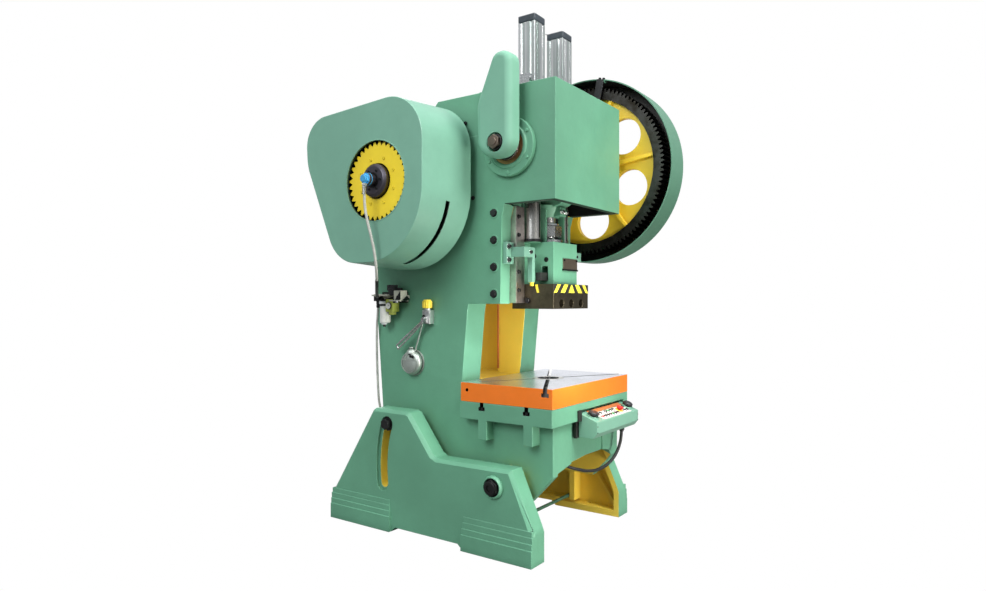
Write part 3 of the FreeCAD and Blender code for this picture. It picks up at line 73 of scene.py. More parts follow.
class Mat:
    """A node material with a few short calls for its parts."""

    def __init__(self, name):
        self.m = bpy.data.materials.new(name)
        self.m.use_nodes = True
        self.t = self.m.node_tree
        self.t.nodes.clear()
        self.out = self.new("ShaderNodeOutputMaterial")
        self.b = self.new("ShaderNodeBsdfPrincipled")
        self.t.links.new(self.b.outputs[0], self.out.inputs[0])
        self.co = self.new("ShaderNodeTexCoord").outputs["Object"]

    def new(self, kind):
        return self.t.nodes.new(kind)

    def put(self, socket, v):
        if isinstance(v, bpy.types.NodeSocket):
            self.t.links.new(v, socket)
        else:
            socket.default_value = v

    def stretch(self, x, y, z):
        n = self.new("ShaderNodeMapping")
        self.put(n.inputs["Vector"], self.co)
        n.inputs["Scale"].default_value = (x, y, z)
        return n.outputs[0]

    def noise(self, scale, detail=2.0, rough=0.5, co=None, dist=0.0):
        n = self.new("ShaderNodeTexNoise")
        self.put(n.inputs["Vector"], co or self.co)
        n.inputs["Scale"].default_value = scale
        n.inputs["Detail"].default_value = detail
        n.inputs["Roughness"].default_value = rough
        n.inputs["Distortion"].default_value = dist
        return n.outputs[0]

    def voronoi(self, scale, co=None, feature="F1"):
        n = self.new("ShaderNodeTexVoronoi")
        n.feature = feature
        self.put(n.inputs["Vector"], co or self.co)
        n.inputs["Scale"].default_value = scale
        return n.outputs[0]

    def wave(self, scale, axis="X", dist=0.0, detail=0.0, co=None):
        n = self.new("ShaderNodeTexWave")
        n.bands_direction = axis
        self.put(n.inputs["Vector"], co or self.co)
        n.inputs["Scale"].default_value = scale
        n.inputs["Distortion"].default_value = dist
        n.inputs["Detail"].default_value = detail
        return n.outputs[1]

    def rng(self, v, a, b, c, d):
        n = self.new("ShaderNodeMapRange")
        self.put(n.inputs[0], v)
        for i, x in zip((1, 2, 3, 4), (a, b, c, d)):
            n.inputs[i].default_value = x
        return n.outputs[0]

    def mix(self, fac, a, b, mode="MIX"):
        n = self.new("ShaderNodeMix")
        n.data_type = "RGBA"
        n.blend_type = mode
        self.put(n.inputs[0], fac)
        self.put(n.inputs[6], a)
        self.put(n.inputs[7], b)
        return n.outputs[2]

    def math(self, op, a, b):
        n = self.new("ShaderNodeMath")
        n.operation = op
        self.put(n.inputs[0], a)
        self.put(n.inputs[1], b)
        return n.outputs[0]

    def ao(self, dist):
        n = self.new("ShaderNodeAmbientOcclusion")
        n.samples = 6
        n.inputs["Distance"].default_value = dist
        return n.outputs["AO"]

    def edge(self, radius):
        """0 on flats, rising towards 1 along convex and concave edges."""
        bev = self.new("ShaderNodeBevel")
        bev.samples = 4
        bev.inputs["Radius"].default_value = radius
        geo = self.new("ShaderNodeNewGeometry")
        dot = self.new("ShaderNodeVectorMath")
        dot.operation = "DOT_PRODUCT"
        self.t.links.new(bev.outputs[0], dot.inputs[0])
        self.t.links.new(geo.outputs["Normal"], dot.inputs[1])
        return self.rng(dot.outputs["Value"], 0.995, 0.86, 0.0, 1.0)

    def bump(self, height, strength, dist, normal=None):
        n = self.new("ShaderNodeBump")
        n.inputs["Strength"].default_value = strength
        n.inputs["Distance"].default_value = dist
        self.put(n.inputs["Height"], height)
        if normal is not None:
            self.put(n.inputs["Normal"], normal)
        return n.outputs[0]

    def finish(self, color, rough, metal=0.0, normal=None, coat=0.0, coat_rough=0.1, spec=0.5):
        b = self.b.inputs
        self.put(b["Base Color"], color)
        self.put(b["Roughness"], rough)
        b["Metallic"].default_value = metal
        b["Coat Weight"].default_value = coat
        b["Coat Roughness"].default_value = coat_rough
        b["Specular IOR Level"].default_value = spec
        if normal is not None:
            self.put(b["Normal"], normal)
        return self.m


def paint(name, color, rough=0.36, cast=1.0, dirt_and_corner_shade=0.55, wear_and_edge_highlight=0.35, drift=0.10, hue=None, coat=0.0):
    """Brushed or sprayed enamel: slow drift of tone, cast skin or orange peel under it, patchy painted shade darkening
    corners and recesses, painted highlight lightening edges, partly standing for wear.
    """
    m = Mat(name)
    slow = m.noise(2.2, 2.0)
    mid = m.noise(17.0, 4.0, 0.6)
    a = m.mix(m.rng(slow, 0.34, 0.66, 0.0, 1.0), scaled(color, 1 - drift), scaled(hue or color, 1 + drift))
    a = m.mix(m.rng(mid, 0.35, 0.75, 0.0, 0.30), a, scaled(color, 0.82))
    speck = m.rng(m.noise(140.0, 3.0, 0.7), 0.66, 0.78, 0.0, 0.35)
    a = m.mix(speck, a, scaled(color, 0.62))
    # painted shade: corners and recesses darken towards a dark copy of the paint, patchy like grime
    if dirt_and_corner_shade:
        occ = m.rng(m.ao(0.055), 0.25, 0.85, dirt_and_corner_shade, 0.0)
        a = m.mix(m.math("MULTIPLY", occ, m.rng(mid, 0.2, 0.6, 0.55, 1.0)), a, scaled(color, 0.30))
    # painted highlight along convex and concave edges, broken by noise, partly standing for worn paint
    if wear_and_edge_highlight:
        e = m.math("MULTIPLY", m.edge(0.004), m.rng(m.noise(55.0, 4.0, 0.7), 0.38, 0.62, 0.25, 1.0))
        a = m.mix(m.math("MULTIPLY", e, wear_and_edge_highlight), a, scaled(color, 1.75))
    rr = m.rng(m.noise(9.0, 4.0, 0.65), 0.3, 0.7, rough - 0.06, rough + 0.10)
    n = m.bump(m.noise(26.0, 3.0, 0.55), 0.22 * cast, 0.004)
    n = m.bump(m.noise(210.0, 3.0, 0.6), 0.10 + 0.10 * cast, 0.0008, n)
    return m.finish(a, rr, 0.0, n, coat, 0.12)


def metal(name, color, rough=0.3, lines=None, grease=0.0, dirt_and_corner_shade=0.3, var=0.10, wear_and_edge_highlight=0.25):
    """Machined or bright steel; lines stretches the tool marks along one axis."""
    m = Mat(name)
    co = m.co if lines is None else m.stretch(*lines)
    fine = m.noise(60.0 if lines else 180.0, 4.0, 0.65, co)
    slow = m.noise(7.0, 4.0, 0.6)
    a = m.mix(m.rng(slow, 0.35, 0.7, 0.0, 1.0), scaled(color, 1 + var), scaled(color, 1 - var * 1.6))
    a = m.mix(m.rng(fine, 0.4, 0.7, 0.0, 0.35), a, scaled(color, 0.72))
    if grease:
        g = m.rng(m.noise(16.0, 5.0, 0.7), 0.42, 0.66, 0.0, grease)
        a = m.mix(g, a, (0.018, 0.015, 0.010, 1.0))
    # painted shade: corners and recesses darken towards a dark copy of the steel
    if dirt_and_corner_shade:
        occ = m.rng(m.ao(0.03), 0.25, 0.9, dirt_and_corner_shade, 0.0)
        a = m.mix(occ, a, scaled(color, 0.25))
    # painted highlight along edges, partly standing for wear
    if wear_and_edge_highlight:
        a = m.mix(m.math("MULTIPLY", m.edge(0.0015), wear_and_edge_highlight), a, scaled(color, 1.6))
    rr = m.rng(fine, 0.3, 0.75, rough - 0.07, rough + 0.12)
    n = m.bump(fine, 0.18, 0.0006)
    return m.finish(a, rr, 1.0, n)


def plastic(name, color, rough=0.32, grain=0.06, dirt_and_corner_shade=0.2):
    m = Mat(name)
    a = m.mix(m.rng(m.noise(22.0, 3.0), 0.3, 0.7, 0.0, 1.0), scaled(color, 0.86), scaled(color, 1.14))
    if dirt_and_corner_shade:
        a = m.mix(m.rng(m.noise(60.0, 4.0, 0.7), 0.55, 0.75, 0.0, dirt_and_corner_shade), a, (0.25, 0.23, 0.20, 1.0))
    rr = m.rng(m.noise(45.0, 3.0), 0.3, 0.7, rough - 0.06, rough + 0.12)
    return m.finish(a, rr, 0.0, m.bump(m.noise(420.0, 2.0), grain, 0.0004))


GREEN = (0.134, 0.360, 0.230, 1.0)
green = paint("paint_green_cast", GREEN, 0.40, 1.0)
green_sheet = paint("paint_green_sheet", (0.190, 0.405, 0.300, 1.0), 0.36, 0.25, dirt_and_corner_shade=0.12, wear_and_edge_highlight=0.08, drift=0.05, coat=0.15)
green_ear = paint("paint_green_cover", (0.185, 0.42, 0.30, 1.0), 0.60, 0.3, dirt_and_corner_shade=0.15, wear_and_edge_highlight=0.1, drift=0.06, coat=0.0)
# painted shade: the sheet green at about half brightness for the gear guard's outer band
green_band_shaded = paint("paint_green_band_shaded", (0.090, 0.230, 0.152, 1.0), 0.42, 0.25, dirt_and_corner_shade=0.2, wear_and_edge_highlight=0.1, drift=0.05, coat=0.1)
# painted shade: the frame green darkened to a sixth, for insides and undersides that lie in shade
green_painted_shade = paint("paint_green_shaded_inside", scaled(GREEN, 0.16), 0.7, 0.6, dirt_and_corner_shade=0.5, wear_and_edge_highlight=0.0)
inside = paint("paint_inside_yellow", (1.0, 0.80, 0.12, 1.0), 0.46, 0.9, dirt_and_corner_shade=0.18, wear_and_edge_highlight=0.10, drift=0.05, hue=(1.0, 0.66, 0.075, 1.0))
orange = paint("paint_orange", (0.93, 0.205, 0.016, 1.0), 0.36, 0.35, dirt_and_corner_shade=0.35, wear_and_edge_highlight=0.30, drift=0.05)
yellow = paint("paint_gear_yellow", (0.95, 0.62, 0.035, 1.0), 0.38, 0.7, dirt_and_corner_shade=0.35, wear_and_edge_highlight=0.25)
yellow_bright = paint("paint_clutch_yellow", (0.95, 0.68, 0.030, 1.0), 0.36, 0.8, dirt_and_corner_shade=0.6, wear_and_edge_highlight=0.3)
brown_paint = paint("paint_rust_orange", (0.42, 0.13, 0.035, 1.0), 0.5, 0.6, dirt_and_corner_shade=0.5, wear_and_edge_highlight=0.4, drift=0.2)
table_steel = metal("steel_table_top", (0.72, 0.73, 0.80, 1.0), 0.30, lines=(1.0, 14.0, 1.0), dirt_and_corner_shade=0.15, var=0.10)
bright = metal("steel_bright", (0.66, 0.66, 0.65, 1.0), 0.26)
# painted shade: the frame green at under half brightness for the tie rods under the bed
green_rod_shaded = paint("paint_green_rod_shaded", scaled(GREEN, 0.45), 0.5, 0.4, dirt_and_corner_shade=0.3, wear_and_edge_highlight=0.1)
satin = metal("aluminium_satin", (0.58, 0.63, 0.59, 1.0), 0.52, dirt_and_corner_shade=0.35)
hub_dark = metal("steel_hub_dark", (0.11, 0.10, 0.12, 1.0), 0.42, dirt_and_corner_shade=0.2)
nut_brown = metal("steel_nut_oiled", (0.20, 0.155, 0.125, 1.0), 0.34, dirt_and_corner_shade=0.3)
turned = metal("steel_turned", (0.56, 0.55, 0.53, 1.0), 0.30, lines=(18.0, 1.0, 1.0))
dark_steel_and_shade = metal("steel_dark_and_shade", (0.060, 0.060, 0.062, 1.0), 0.42, dirt_and_corner_shade=0.4)
greased = metal("steel_greased_teeth", (0.055, 0.053, 0.050, 1.0), 0.34, grease=0.85, dirt_and_corner_shade=0.5, wear_and_edge_highlight=0.6)
black_paint_and_shade = paint("paint_black_and_shade", (0.016, 0.016, 0.015, 1.0), 0.5, 0.5, dirt_and_corner_shade=0.2, wear_and_edge_highlight=0.15)
olive = metal("steel_blackened_block", (0.115, 0.098, 0.066, 1.0), 0.46, grease=0.35, dirt_and_corner_shade=0.4)
bronze = metal("bronze_bush", (0.40, 0.20, 0.09, 1.0), 0.36)
gib_metal = metal("gib_bronze_pale", (0.74, 0.66, 0.62, 1.0), 0.34, lines=(1.0, 1.0, 16.0), grease=0.35)
iron = paint("cast_iron_bare", (0.14, 0.135, 0.13, 1.0), 0.5, 0.9, dirt_and_corner_shade=0.5, wear_and_edge_highlight=0.3)
alu = metal("aluminium_cast", (0.72, 0.73, 0.74, 1.0), 0.40, dirt_and_corner_shade=0.25)
black_pl = plastic("plastic_black", (0.020, 0.021, 0.024, 1.0), 0.30)
black_cap = plastic("cap_slate_black", (0.035, 0.045, 0.058, 1.0), 0.34, 0.3)
red_pl = plastic("plastic_red", (0.62, 0.02, 0.015, 1.0), 0.30)
yellow_pl = plastic("plastic_yellow", (0.86, 0.66, 0.05, 1.0), 0.30)
blue_pl = plastic("fitting_blue", (0.055, 0.33, 0.62, 1.0), 0.30, dirt_and_corner_shade=0.1)
white_pl = plastic("panel_white", (0.74, 0.74, 0.70, 1.0), 0.36, dirt_and_corner_shade=0.35)
rubber = plastic("rubber_black", (0.022, 0.022, 0.022, 1.0), 0.62, 0.4)
cream = plastic("valve_cream", (0.52, 0.52, 0.44, 1.0), 0.45, 0.2, 0.35)
lime = plastic("regulator_lime", (0.36, 0.42, 0.07, 1.0), 0.42, 0.2, 0.35)


def tube_metal():
    """Clear-anodised extrusion with painted reflections: lengthwise stripes of near-white and green-grey in its colour.
    """
    m = Mat("aluminium_tube_painted_streaks")
    co = m.stretch(1.0, 1.0, 0.02)
    reflection_streaks = m.noise(34.0, 2.0, 0.5, co)
    a = m.mix(m.rng(reflection_streaks, 0.40, 0.60, 0.0, 1.0), (0.98, 0.98, 0.98, 1.0), (0.62, 0.70, 0.66, 1.0))
    a = m.mix(m.rng(m.noise(220.0, 3.0, 0.6, co), 0.45, 0.75, 0.0, 0.25), a, (0.5, 0.52, 0.53, 1.0))
    rr = m.rng(m.noise(8.0, 3.0), 0.3, 0.7, 0.13, 0.24)
    return m.finish(a, rr, 1.0, m.bump(m.noise(160.0, 2.0, 0.5, co), 0.12, 0.0005))


tube_alu_painted_streaks = tube_metal()


def hose_mat(name, color, rings=0.0):
    m = Mat(name)
    a = m.mix(m.rng(m.noise(30.0, 4.0), 0.3, 0.7, 0.0, 1.0), scaled(color, 0.78), scaled(color, 1.12))
    return m.finish(a, m.rng(m.noise(60.0), 0.3, 0.7, 0.42, 0.60), 0.0, m.bump(m.noise(900.0, 2.0), 0.25, 0.0006))


grey_hose = hose_mat("hose_grey", (0.46, 0.47, 0.43, 1.0))
black_cable = hose_mat("cable_black", (0.018, 0.018, 0.018, 1.0))


def bowl_mat():
    m = Mat("bowl_milky")
    a = m.mix(m.rng(m.noise(12.0, 3.0), 0.35, 0.65, 0.0, 1.0), (0.72, 0.76, 0.78, 1.0), (0.86, 0.89, 0.90, 1.0))
    return m.finish(a, m.rng(m.noise(50.0), 0.3, 0.7, 0.12, 0.24), 0.0, m.bump(m.noise(120.0), 0.06, 0.0005), 0.4, 0.08)


bowl = bowl_mat()

# ================================================================ cords, before anything else is made
CORDS = {
    "union_hose": (13, 877, grey_hose, "grey_hose", "medium", "hanging",
                   [(-795, 85.4, 1704), (-796, 86, 1630), (-788, 75, 1550), (-777, 58, 1472), (-764, 50, 1400), (-744, 58, 1325), (-700, 99, 1262),
                    (-630, 169, 1228), (-545, 253, 1212), (-470, 325, 1203), (-415, 378, 1197)]),
    "supply_hose": (12, 640, grey_hose, "grey_hose", "medium", "hanging",
                    [(-379, 408, 1158), (-377, 413, 1105), (-367, 429, 1035), (-359, 438, 950), (-356, 439, 860), (-355, 436, 770), (-353, 433, 690),
                     (-344, 436, 625), (-328, 435, 573), (-318, 432, 526)]),
    "control_cable": (16, 700, black_cable, "rubber", "medium", "hanging",
                      [(268, -718, 513), (267, -717, 467), (251, -711, 414), (209, -703, 368), (142, -694, 340), (60, -682, 329), (-20, -671, 338),
                       (-90, -654, 358), (-141, -625, 377), (-168, -595, 404), (-179, -580, 441), (-182.5, -571, 480), (-182, -570, 516)]),
}
for label, (dia, length, material, slot_name, stiff, lay, pts) in CORDS.items():
    cu = bpy.data.curves.new(label + "_line", "CURVE")
    cu.dimensions = "3D"
    sp = cu.splines.new("NURBS")
    sp.points.add(len(pts) - 1)
    for i, p in enumerate(pts):
        sp.points[i].co = (p[0] * MM, p[1] * MM, p[2] * MM, 1.0)
    sp.order_u = 3
    sp.use_endpoint_u = True
    sp.resolution_u = 16
    cu.bevel_depth = dia * MM / 2
    cu.bevel_resolution = 5
    cu.use_fill_caps = True
    cu.materials.append(material)
    ob = bpy.data.objects.new(label + "_line", cu)
    scene.collection.objects.link(ob)
    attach(ob, "frame")
    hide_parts(label)
    tuple(c * MM for c in pts[0])

sleeve = bpy.data.objects["union_hose_line"].data.copy()
sleeve.bevel_depth = 8.2 * MM
sleeve.bevel_factor_mapping_start = "SPLINE"
sleeve.bevel_factor_start = 0.52
sleeve.materials.clear()
sleeve.materials.append(black_cable)
ob = bpy.data.objects.new("union_hose_sleeve", sleeve)
scene.collection.objects.link(ob)
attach(ob, "frame")

# ================================================================ floor and light
me = bpy.data.meshes.new("studio_floor")
me.from_pydata([(-25, -25, 0), (25, -25, 0), (25, 25, 0), (-25, 25, 0)], [], [(0, 1, 2, 3)])
floor = bpy.data.objects.new("studio_floor", me)
scene.collection.objects.link(floor)
fm = Mat("floor_pale")
me.materials.append(fm.finish(fm.mix(fm.rng(fm.noise(0.6), 0.3, 0.7, 0.0, 1.0), (0.13, 0.13, 0.125, 1.0), (0.15, 0.15, 0.145, 1.0)), 0.7))
f_white = fm.new("ShaderNodeEmission")
f_mix = fm.new("ShaderNodeMixShader")
fm.t.links.new(fm.new("ShaderNodeLightPath").outputs["Is Camera Ray"], f_mix.inputs[0])
fm.t.links.new(fm.b.outputs[0], f_mix.inputs[1])
fm.t.links.new(f_white.outputs[0], f_mix.inputs[2])
fm.t.links.new(f_mix.outputs[0], fm.out.inputs[0])

world = bpy.data.worlds.new("studio")
scene.world = world
world.use_nodes = True
wt = world.node_tree
wt.nodes.clear()
w_out = wt.nodes.new("ShaderNodeOutputWorld")
w_mix = wt.nodes.new("ShaderNodeMixShader")
w_ray = wt.nodes.new("ShaderNodeLightPath")
w_seen = wt.nodes.new("ShaderNodeBackground")
w_seen.inputs[0].default_value = (1, 1, 1, 1)
w_seen.inputs[1].default_value = 1.0
w_lit = wt.nodes.new("ShaderNodeBackground")
w_lit.inputs[1].default_value = 1.0
w_co = wt.nodes.new("ShaderNodeTexCoord")
w_sep = wt.nodes.new("ShaderNodeSeparateXYZ")
w_ramp = wt.nodes.new("ShaderNodeValToRGB")
w_map = wt.nodes.new("ShaderNodeMapRange")
w_map.inputs[1].default_value, w_map.inputs[2].default_value = -1.0, 1.0
wt.links.new(w_co.outputs["Generated"], w_sep.inputs[0])
wt.links.new(w_sep.outputs[2], w_map.inputs[0])
wt.links.new(w_map.outputs[0], w_ramp.inputs[0])
w_ramp.color_ramp.elements[0].position = 0.40
w_ramp.color_ramp.elements[0].color = (0.15, 0.165, 0.165, 1)
w_ramp.color_ramp.elements[1].position = 0.85
w_ramp.color_ramp.elements[1].color = (0.60, 0.62, 0.64, 1)
wt.links.new(w_ramp.outputs[0], w_lit.inputs[0])
wt.links.new(w_ray.outputs["Is Camera Ray"], w_mix.inputs[0])
wt.links.new(w_lit.outputs[0], w_mix.inputs[1])
wt.links.new(w_seen.outputs[0], w_mix.inputs[2])
wt.links.new(w_mix.outputs[0], w_out.inputs[0])


def area(name, at, to, size, power, color=(1, 1, 1), size_y=None):
    d = bpy.data.lights.new(name, "AREA")
    d.energy = power
    d.color = color
    d.shape = "RECTANGLE" if size_y else "SQUARE"
    d.size = size
    if size_y:
        d.size_y = size_y
    o = bpy.data.objects.new(name, d)
    scene.collection.objects.link(o)
    o.location = at
    o.rotation_euler = (Vector(to) - Vector(at)).to_track_quat("-Z", "Y").to_euler()
    return o


area("key", (-0.6, -4.6, 6.0), (0, -0.3, 1.3), 2.6, 405, (1.0, 0.99, 0.975))
area("side", (-6.2, -0.4, 4.6), (0, 0, 1.7), 3.0, 232, (0.95, 0.99, 1.0))
area("top", (0.0, 0.4, 6.5), (0, 0, 1.0), 4.0, 110)
area("rear", (3.5, 5.5, 3.6), (0, 0, 1.2), 3.5, 150)
area("sheen", (5.6, 2.6, 1.85), (0.2, -0.45, 0.78), 2.4, 15)
area("low", (-0.42, -3.3, 0.5), (0.42, -0.3, 0.35), 0.8, 52, (1.0, 0.96, 0.88))
area("throat", (-0.30, -0.80, 1.03), (0.14, 0.05, 0.96), 0.3, 3.2, (1.0, 0.97, 0.90))


# ================================================================ CAD nodes: finish and softened edges
def dress(name, mats, bevel=None, seg=2, pick=None, angle=30.0, dissolve=0.2):
    """Gives a node its materials and rounds its edges with modifiers; its own mesh stays as it is."""
    o = NODES[name]
    me = o.data
    if not isinstance(mats, (list, tuple)):
        mats = [mats]
    me.materials.clear()
    for m in mats:
        me.materials.append(m)
    if "custom_normal" in me.attributes:
        me.attributes.remove(me.attributes["custom_normal"])
    if "sharp_edge" in me.attributes:
        me.attributes.remove(me.attributes["sharp_edge"])
    if "sharp_face" in me.attributes:
        me.attributes.remove(me.attributes["sharp_face"])
    for p in me.polygons:
        p.use_smooth = True
        p.material_index = pick(p.center / MM, p.normal) if pick else 0
    w = o.modifiers.new("weld", "WELD")
    w.merge_threshold = 1e-5
    if bevel:
        d = o.modifiers.new("flatten", "DECIMATE")
        d.decimate_type = "DISSOLVE"
        d.angle_limit = math.radians(dissolve)
        d.delimit = {"MATERIAL"}
        b = o.modifiers.new("round", "BEVEL")
        b.width = bevel * MM
        b.segments = seg
        b.limit_method = "ANGLE"
        b.angle_limit = math.radians(angle)
        b.use_clamp_overlap = False
        b.harden_normals = False
        wn = o.modifiers.new("normals", "WEIGHTED_NORMAL")
        wn.weight = 80
        wn.keep_sharp = False
    else:
        s = o.modifiers.new("split", "EDGE_SPLIT")
        s.split_angle = math.radians(angle)
    return o


LEG = [(-644, 0), (-644, 138), (-635, 162), (-523, 413), (-92, 409), (-60, 424), (84, 610), (106, 620), (325, 620), (345, 607), (633, 162), (645, 138), (645, 0),
       (208, 0), (180, 24), (-222, 24), (-250, 0)]
FRAME_SIDE = [(-672, 1642), (-672, 2200), (27, 2200), (232, 1978), (246, 1778), (560, 1778), (560, 1744), (474, 1600), (470, 1348), (409, 610), (404, 462), (380, 432),
              (-60, 292), (-200, 240), (-535, 236), (-659, 368), (-659, 600), (-690, 602), (-690, 689), (-126, 689), (-138, 800), (-168, 1120), (-176, 1163), (-366, 1163), (-375, 1582), (-392, 1642)]


def off_line(poly, y, z):
    """Distance from a point to an outline."""
    best = 1e9
    for (a, b), (c, d) in zip(poly, poly[1:] + poly[:1]):
        ex, ey = c - a, d - b
        t = max(0.0, min(1.0, ((y - a) * ex + (z - b) * ey) / (ex * ex + ey * ey)))
        best = min(best, math.hypot(y - a - t * ex, z - b - t * ey))
    return best


def pick_leg(c, n):
    slot_r = abs(math.hypot(c.y + 432, c.z - 327) - 704)
    if slot_r < 30 and -30 < c.z - 327 + 130 < 420 and c.y > 150 and abs(n.x) < 0.5 and abs(c.x) < 475:
        return 1
    if abs(c.x) > 465 or off_line(LEG, c.y, c.z) < 3.0 or c.z > 606 or n.z > 0.75 and c.z > 402 and c.y < 110:
        return 0
    return 1


def pick_frame(c, n):
    # painted shade: the crown's underside at the front gets the near-black green
    if n.z < -0.6 and 1600 < c.z < 1700 and c.y < -300:
        return 3
    if 374 < abs(c.x) < 401 and 648 < c.z < 692 and (abs(c.y + 300) < 19 or abs(c.y + 553) < 19):
        return 2
    if abs(c.x) > 333:
        return 0
    if c.z > 600 and c.z < 692 and c.y < -160:
        return 0 if (abs(n.z) > 0.5 or c.y < -600) and math.hypot(c.x, c.y + 432) > 112 else 1
    if 1150 < c.z < 1645 and c.y < -280 and abs(c.x) > 250:
        return 1 if abs(n.x) > 0.5 and abs(c.x) < 300 and c.z > 1180 else 0
    if off_line(FRAME_SIDE, c.y, c.z) < 2.5:
        if 700 < c.z < 1160 and -180 < c.y < -120:
            return 0 if n.y < -0.5 else 1
        return 0
    if c.y < -640 and c.z < 640:
        return 0
    # painted shade: the crown pocket's inner faces get near-black steel and near-black green
    if c.z > 1500 and c.y < -160:
        return 2 if c.z > 1700 or abs(c.x) < 300 else 3
    return 1


def pick_bolster(c, n):
    if n.z > 0.5 and c.z > 780:
        return 1
    if max(abs(c.x) - 401, -c.y - 691, c.y + 174) > -1.0:
        return 0
    return 2


dress("leg_left", [green, inside], 2.2, 2, pick_leg)
dress("leg_right", [green, inside], 0, 2, pick_leg)
dress("c_frame", [green, inside, dark_steel_and_shade, green_painted_shade], 3.0, 3, pick_frame)
dress("bolster", [orange, table_steel, dark_steel_and_shade], 2.0, 2, pick_bolster)
dress("crank_end_cover", green_ear, 2.0, 2, angle=40)
# painted shade: the guard's inner faces get the near-black green
dress("flywheel_guard", [green_sheet, green_painted_shade], 3.5, 3,
      lambda c, n: 0 if (c.x < -727 or n.x > 0.9 and c.x > -394 or ((c.y - 85) * n.y + (c.z - 1745) * n.z) > 5) else 1, angle=34)


def pick_guard(c, n):
    r = Vector((0, c.y + 430, c.z - 1906))
    if abs(n.x) > 0.7 and r.length > 480:
        return 0
    # painted shade: faces turned in towards the gear get black
    if r.length > 470 or c.z < 1906:
        inward = -(n.y * r.y + n.z * r.z)
        return 1 if inward > 0 else 0
    return 2


dress("gear_guard", [green_band_shaded, black_paint_and_shade, dark_steel_and_shade], 1.2, 2, pick_guard)


def pick_gear(c, n):
    r = math.hypot(c.y + 430, c.z - 1906)
    return 1 if r > 404 else 0


dress("bull_gear", [yellow, greased], None, pick=pick_gear)
dress("crankshaft", [turned, dark_steel_and_shade], 1.5, 2, lambda c, n: 1 if c.x < -380 or c.x > 545 else 0)
dress("pinion_shaft", [turned, greased], None, pick=lambda c, n: 1 if c.x > 390 else 0)
dress("flywheel", [iron, yellow_bright], 2.0, 2, lambda c, n: 1 if math.hypot(c.y - 85.4, c.z - 1745) < 214 and c.x < -500 else 0)
dress("clutch_ring", [yellow_bright, black_paint_and_shade], 1.0, 2, lambda c, n: 0 if c.x < -709 or math.hypot(c.y - 85.4, c.z - 1745) < 100 else 1)
dress("clutch_hub", hub_dark, 2.0, 2)
dress("rotary_union", [bright, blue_pl, hub_dark], 1.0, 2, lambda c, n: (1 if c.x < -784 else 2) if c.x < -743 and c.z > 1717 else 0)
dress("motor", green_sheet, 2.0, 2)
dress("motor_pulley", iron, 1.0, 1)
dress("motor_shaft", bright)
dress("drive_belts", rubber)
for nm in ("left", "right"):
    dress("bearing_housing_" + nm, green, 3.0, 3)
    dress("crank_bush_" + nm, bronze, 1.0, 2)
    dress("shaft_bearing_" + nm, iron, 2.0, 2)
    dress("gib_" + nm, gib_metal, 1.0, 2)
    dress("cylinder_tube_" + nm, tube_alu_painted_streaks, 1.5, 2)
    dress("cylinder_cap_" + nm, black_cap, 6.0, 3)
    dress("cylinder_rod_" + nm, bright)
    dress("stop_bracket_" + nm, [green_sheet, yellow_pl], 2.0, 2, lambda c, n: 1 if c.z < 1285 else 0)
    dress("palm_button_" + nm, black_pl, 2.5, 3)
dress("slide", [green, turned], 2.5, 3, lambda c, n: 1 if c.z > 1472 and abs(abs(c.x) - 139) < 45 and c.y < -397 else 0)
dress("clamp_block", olive, 2.0, 2)
dress("connecting_rod", green, 3.0, 2)
dress("ball_screw", bright, None)
dress("lock_nut", bright, 2.0, 2)
dress("knockout_bar", black_paint_and_shade, 1.5, 2)
dress("gib_bolts", dark_steel_and_shade, 1.0, 2)
dress("pivot_bolts", dark_steel_and_shade, 1.5, 2)
dress("tilt_lock_bolts", dark_steel_and_shade, 1.5, 2)
dress("tie_rods", green_rod_shaded, None)
dress("air_valve", [cream, dark_steel_and_shade], 2.0, 2, lambda c, n: 0 if c.z > 1200 and n.z > -0.5 else 1)
dress("air_regulator", lime, 2.0, 2)
dress("regulator_knob", black_pl, 1.5, 2)
dress("filter_bowl", bowl, 2.0, 3)
dress("pump_body", alu, 1.5, 2)
dress("pump_cap", yellow_pl, 2.0, 2)
dress("oil_pot", satin, 3.0, 3)
dress("pump_lever", bright, None, angle=50)
dress("control_box", green_sheet, 2.0, 2)
dress("control_panel", white_pl, 0.8, 1)
dress("stop_button", red_pl, 1.5, 2)


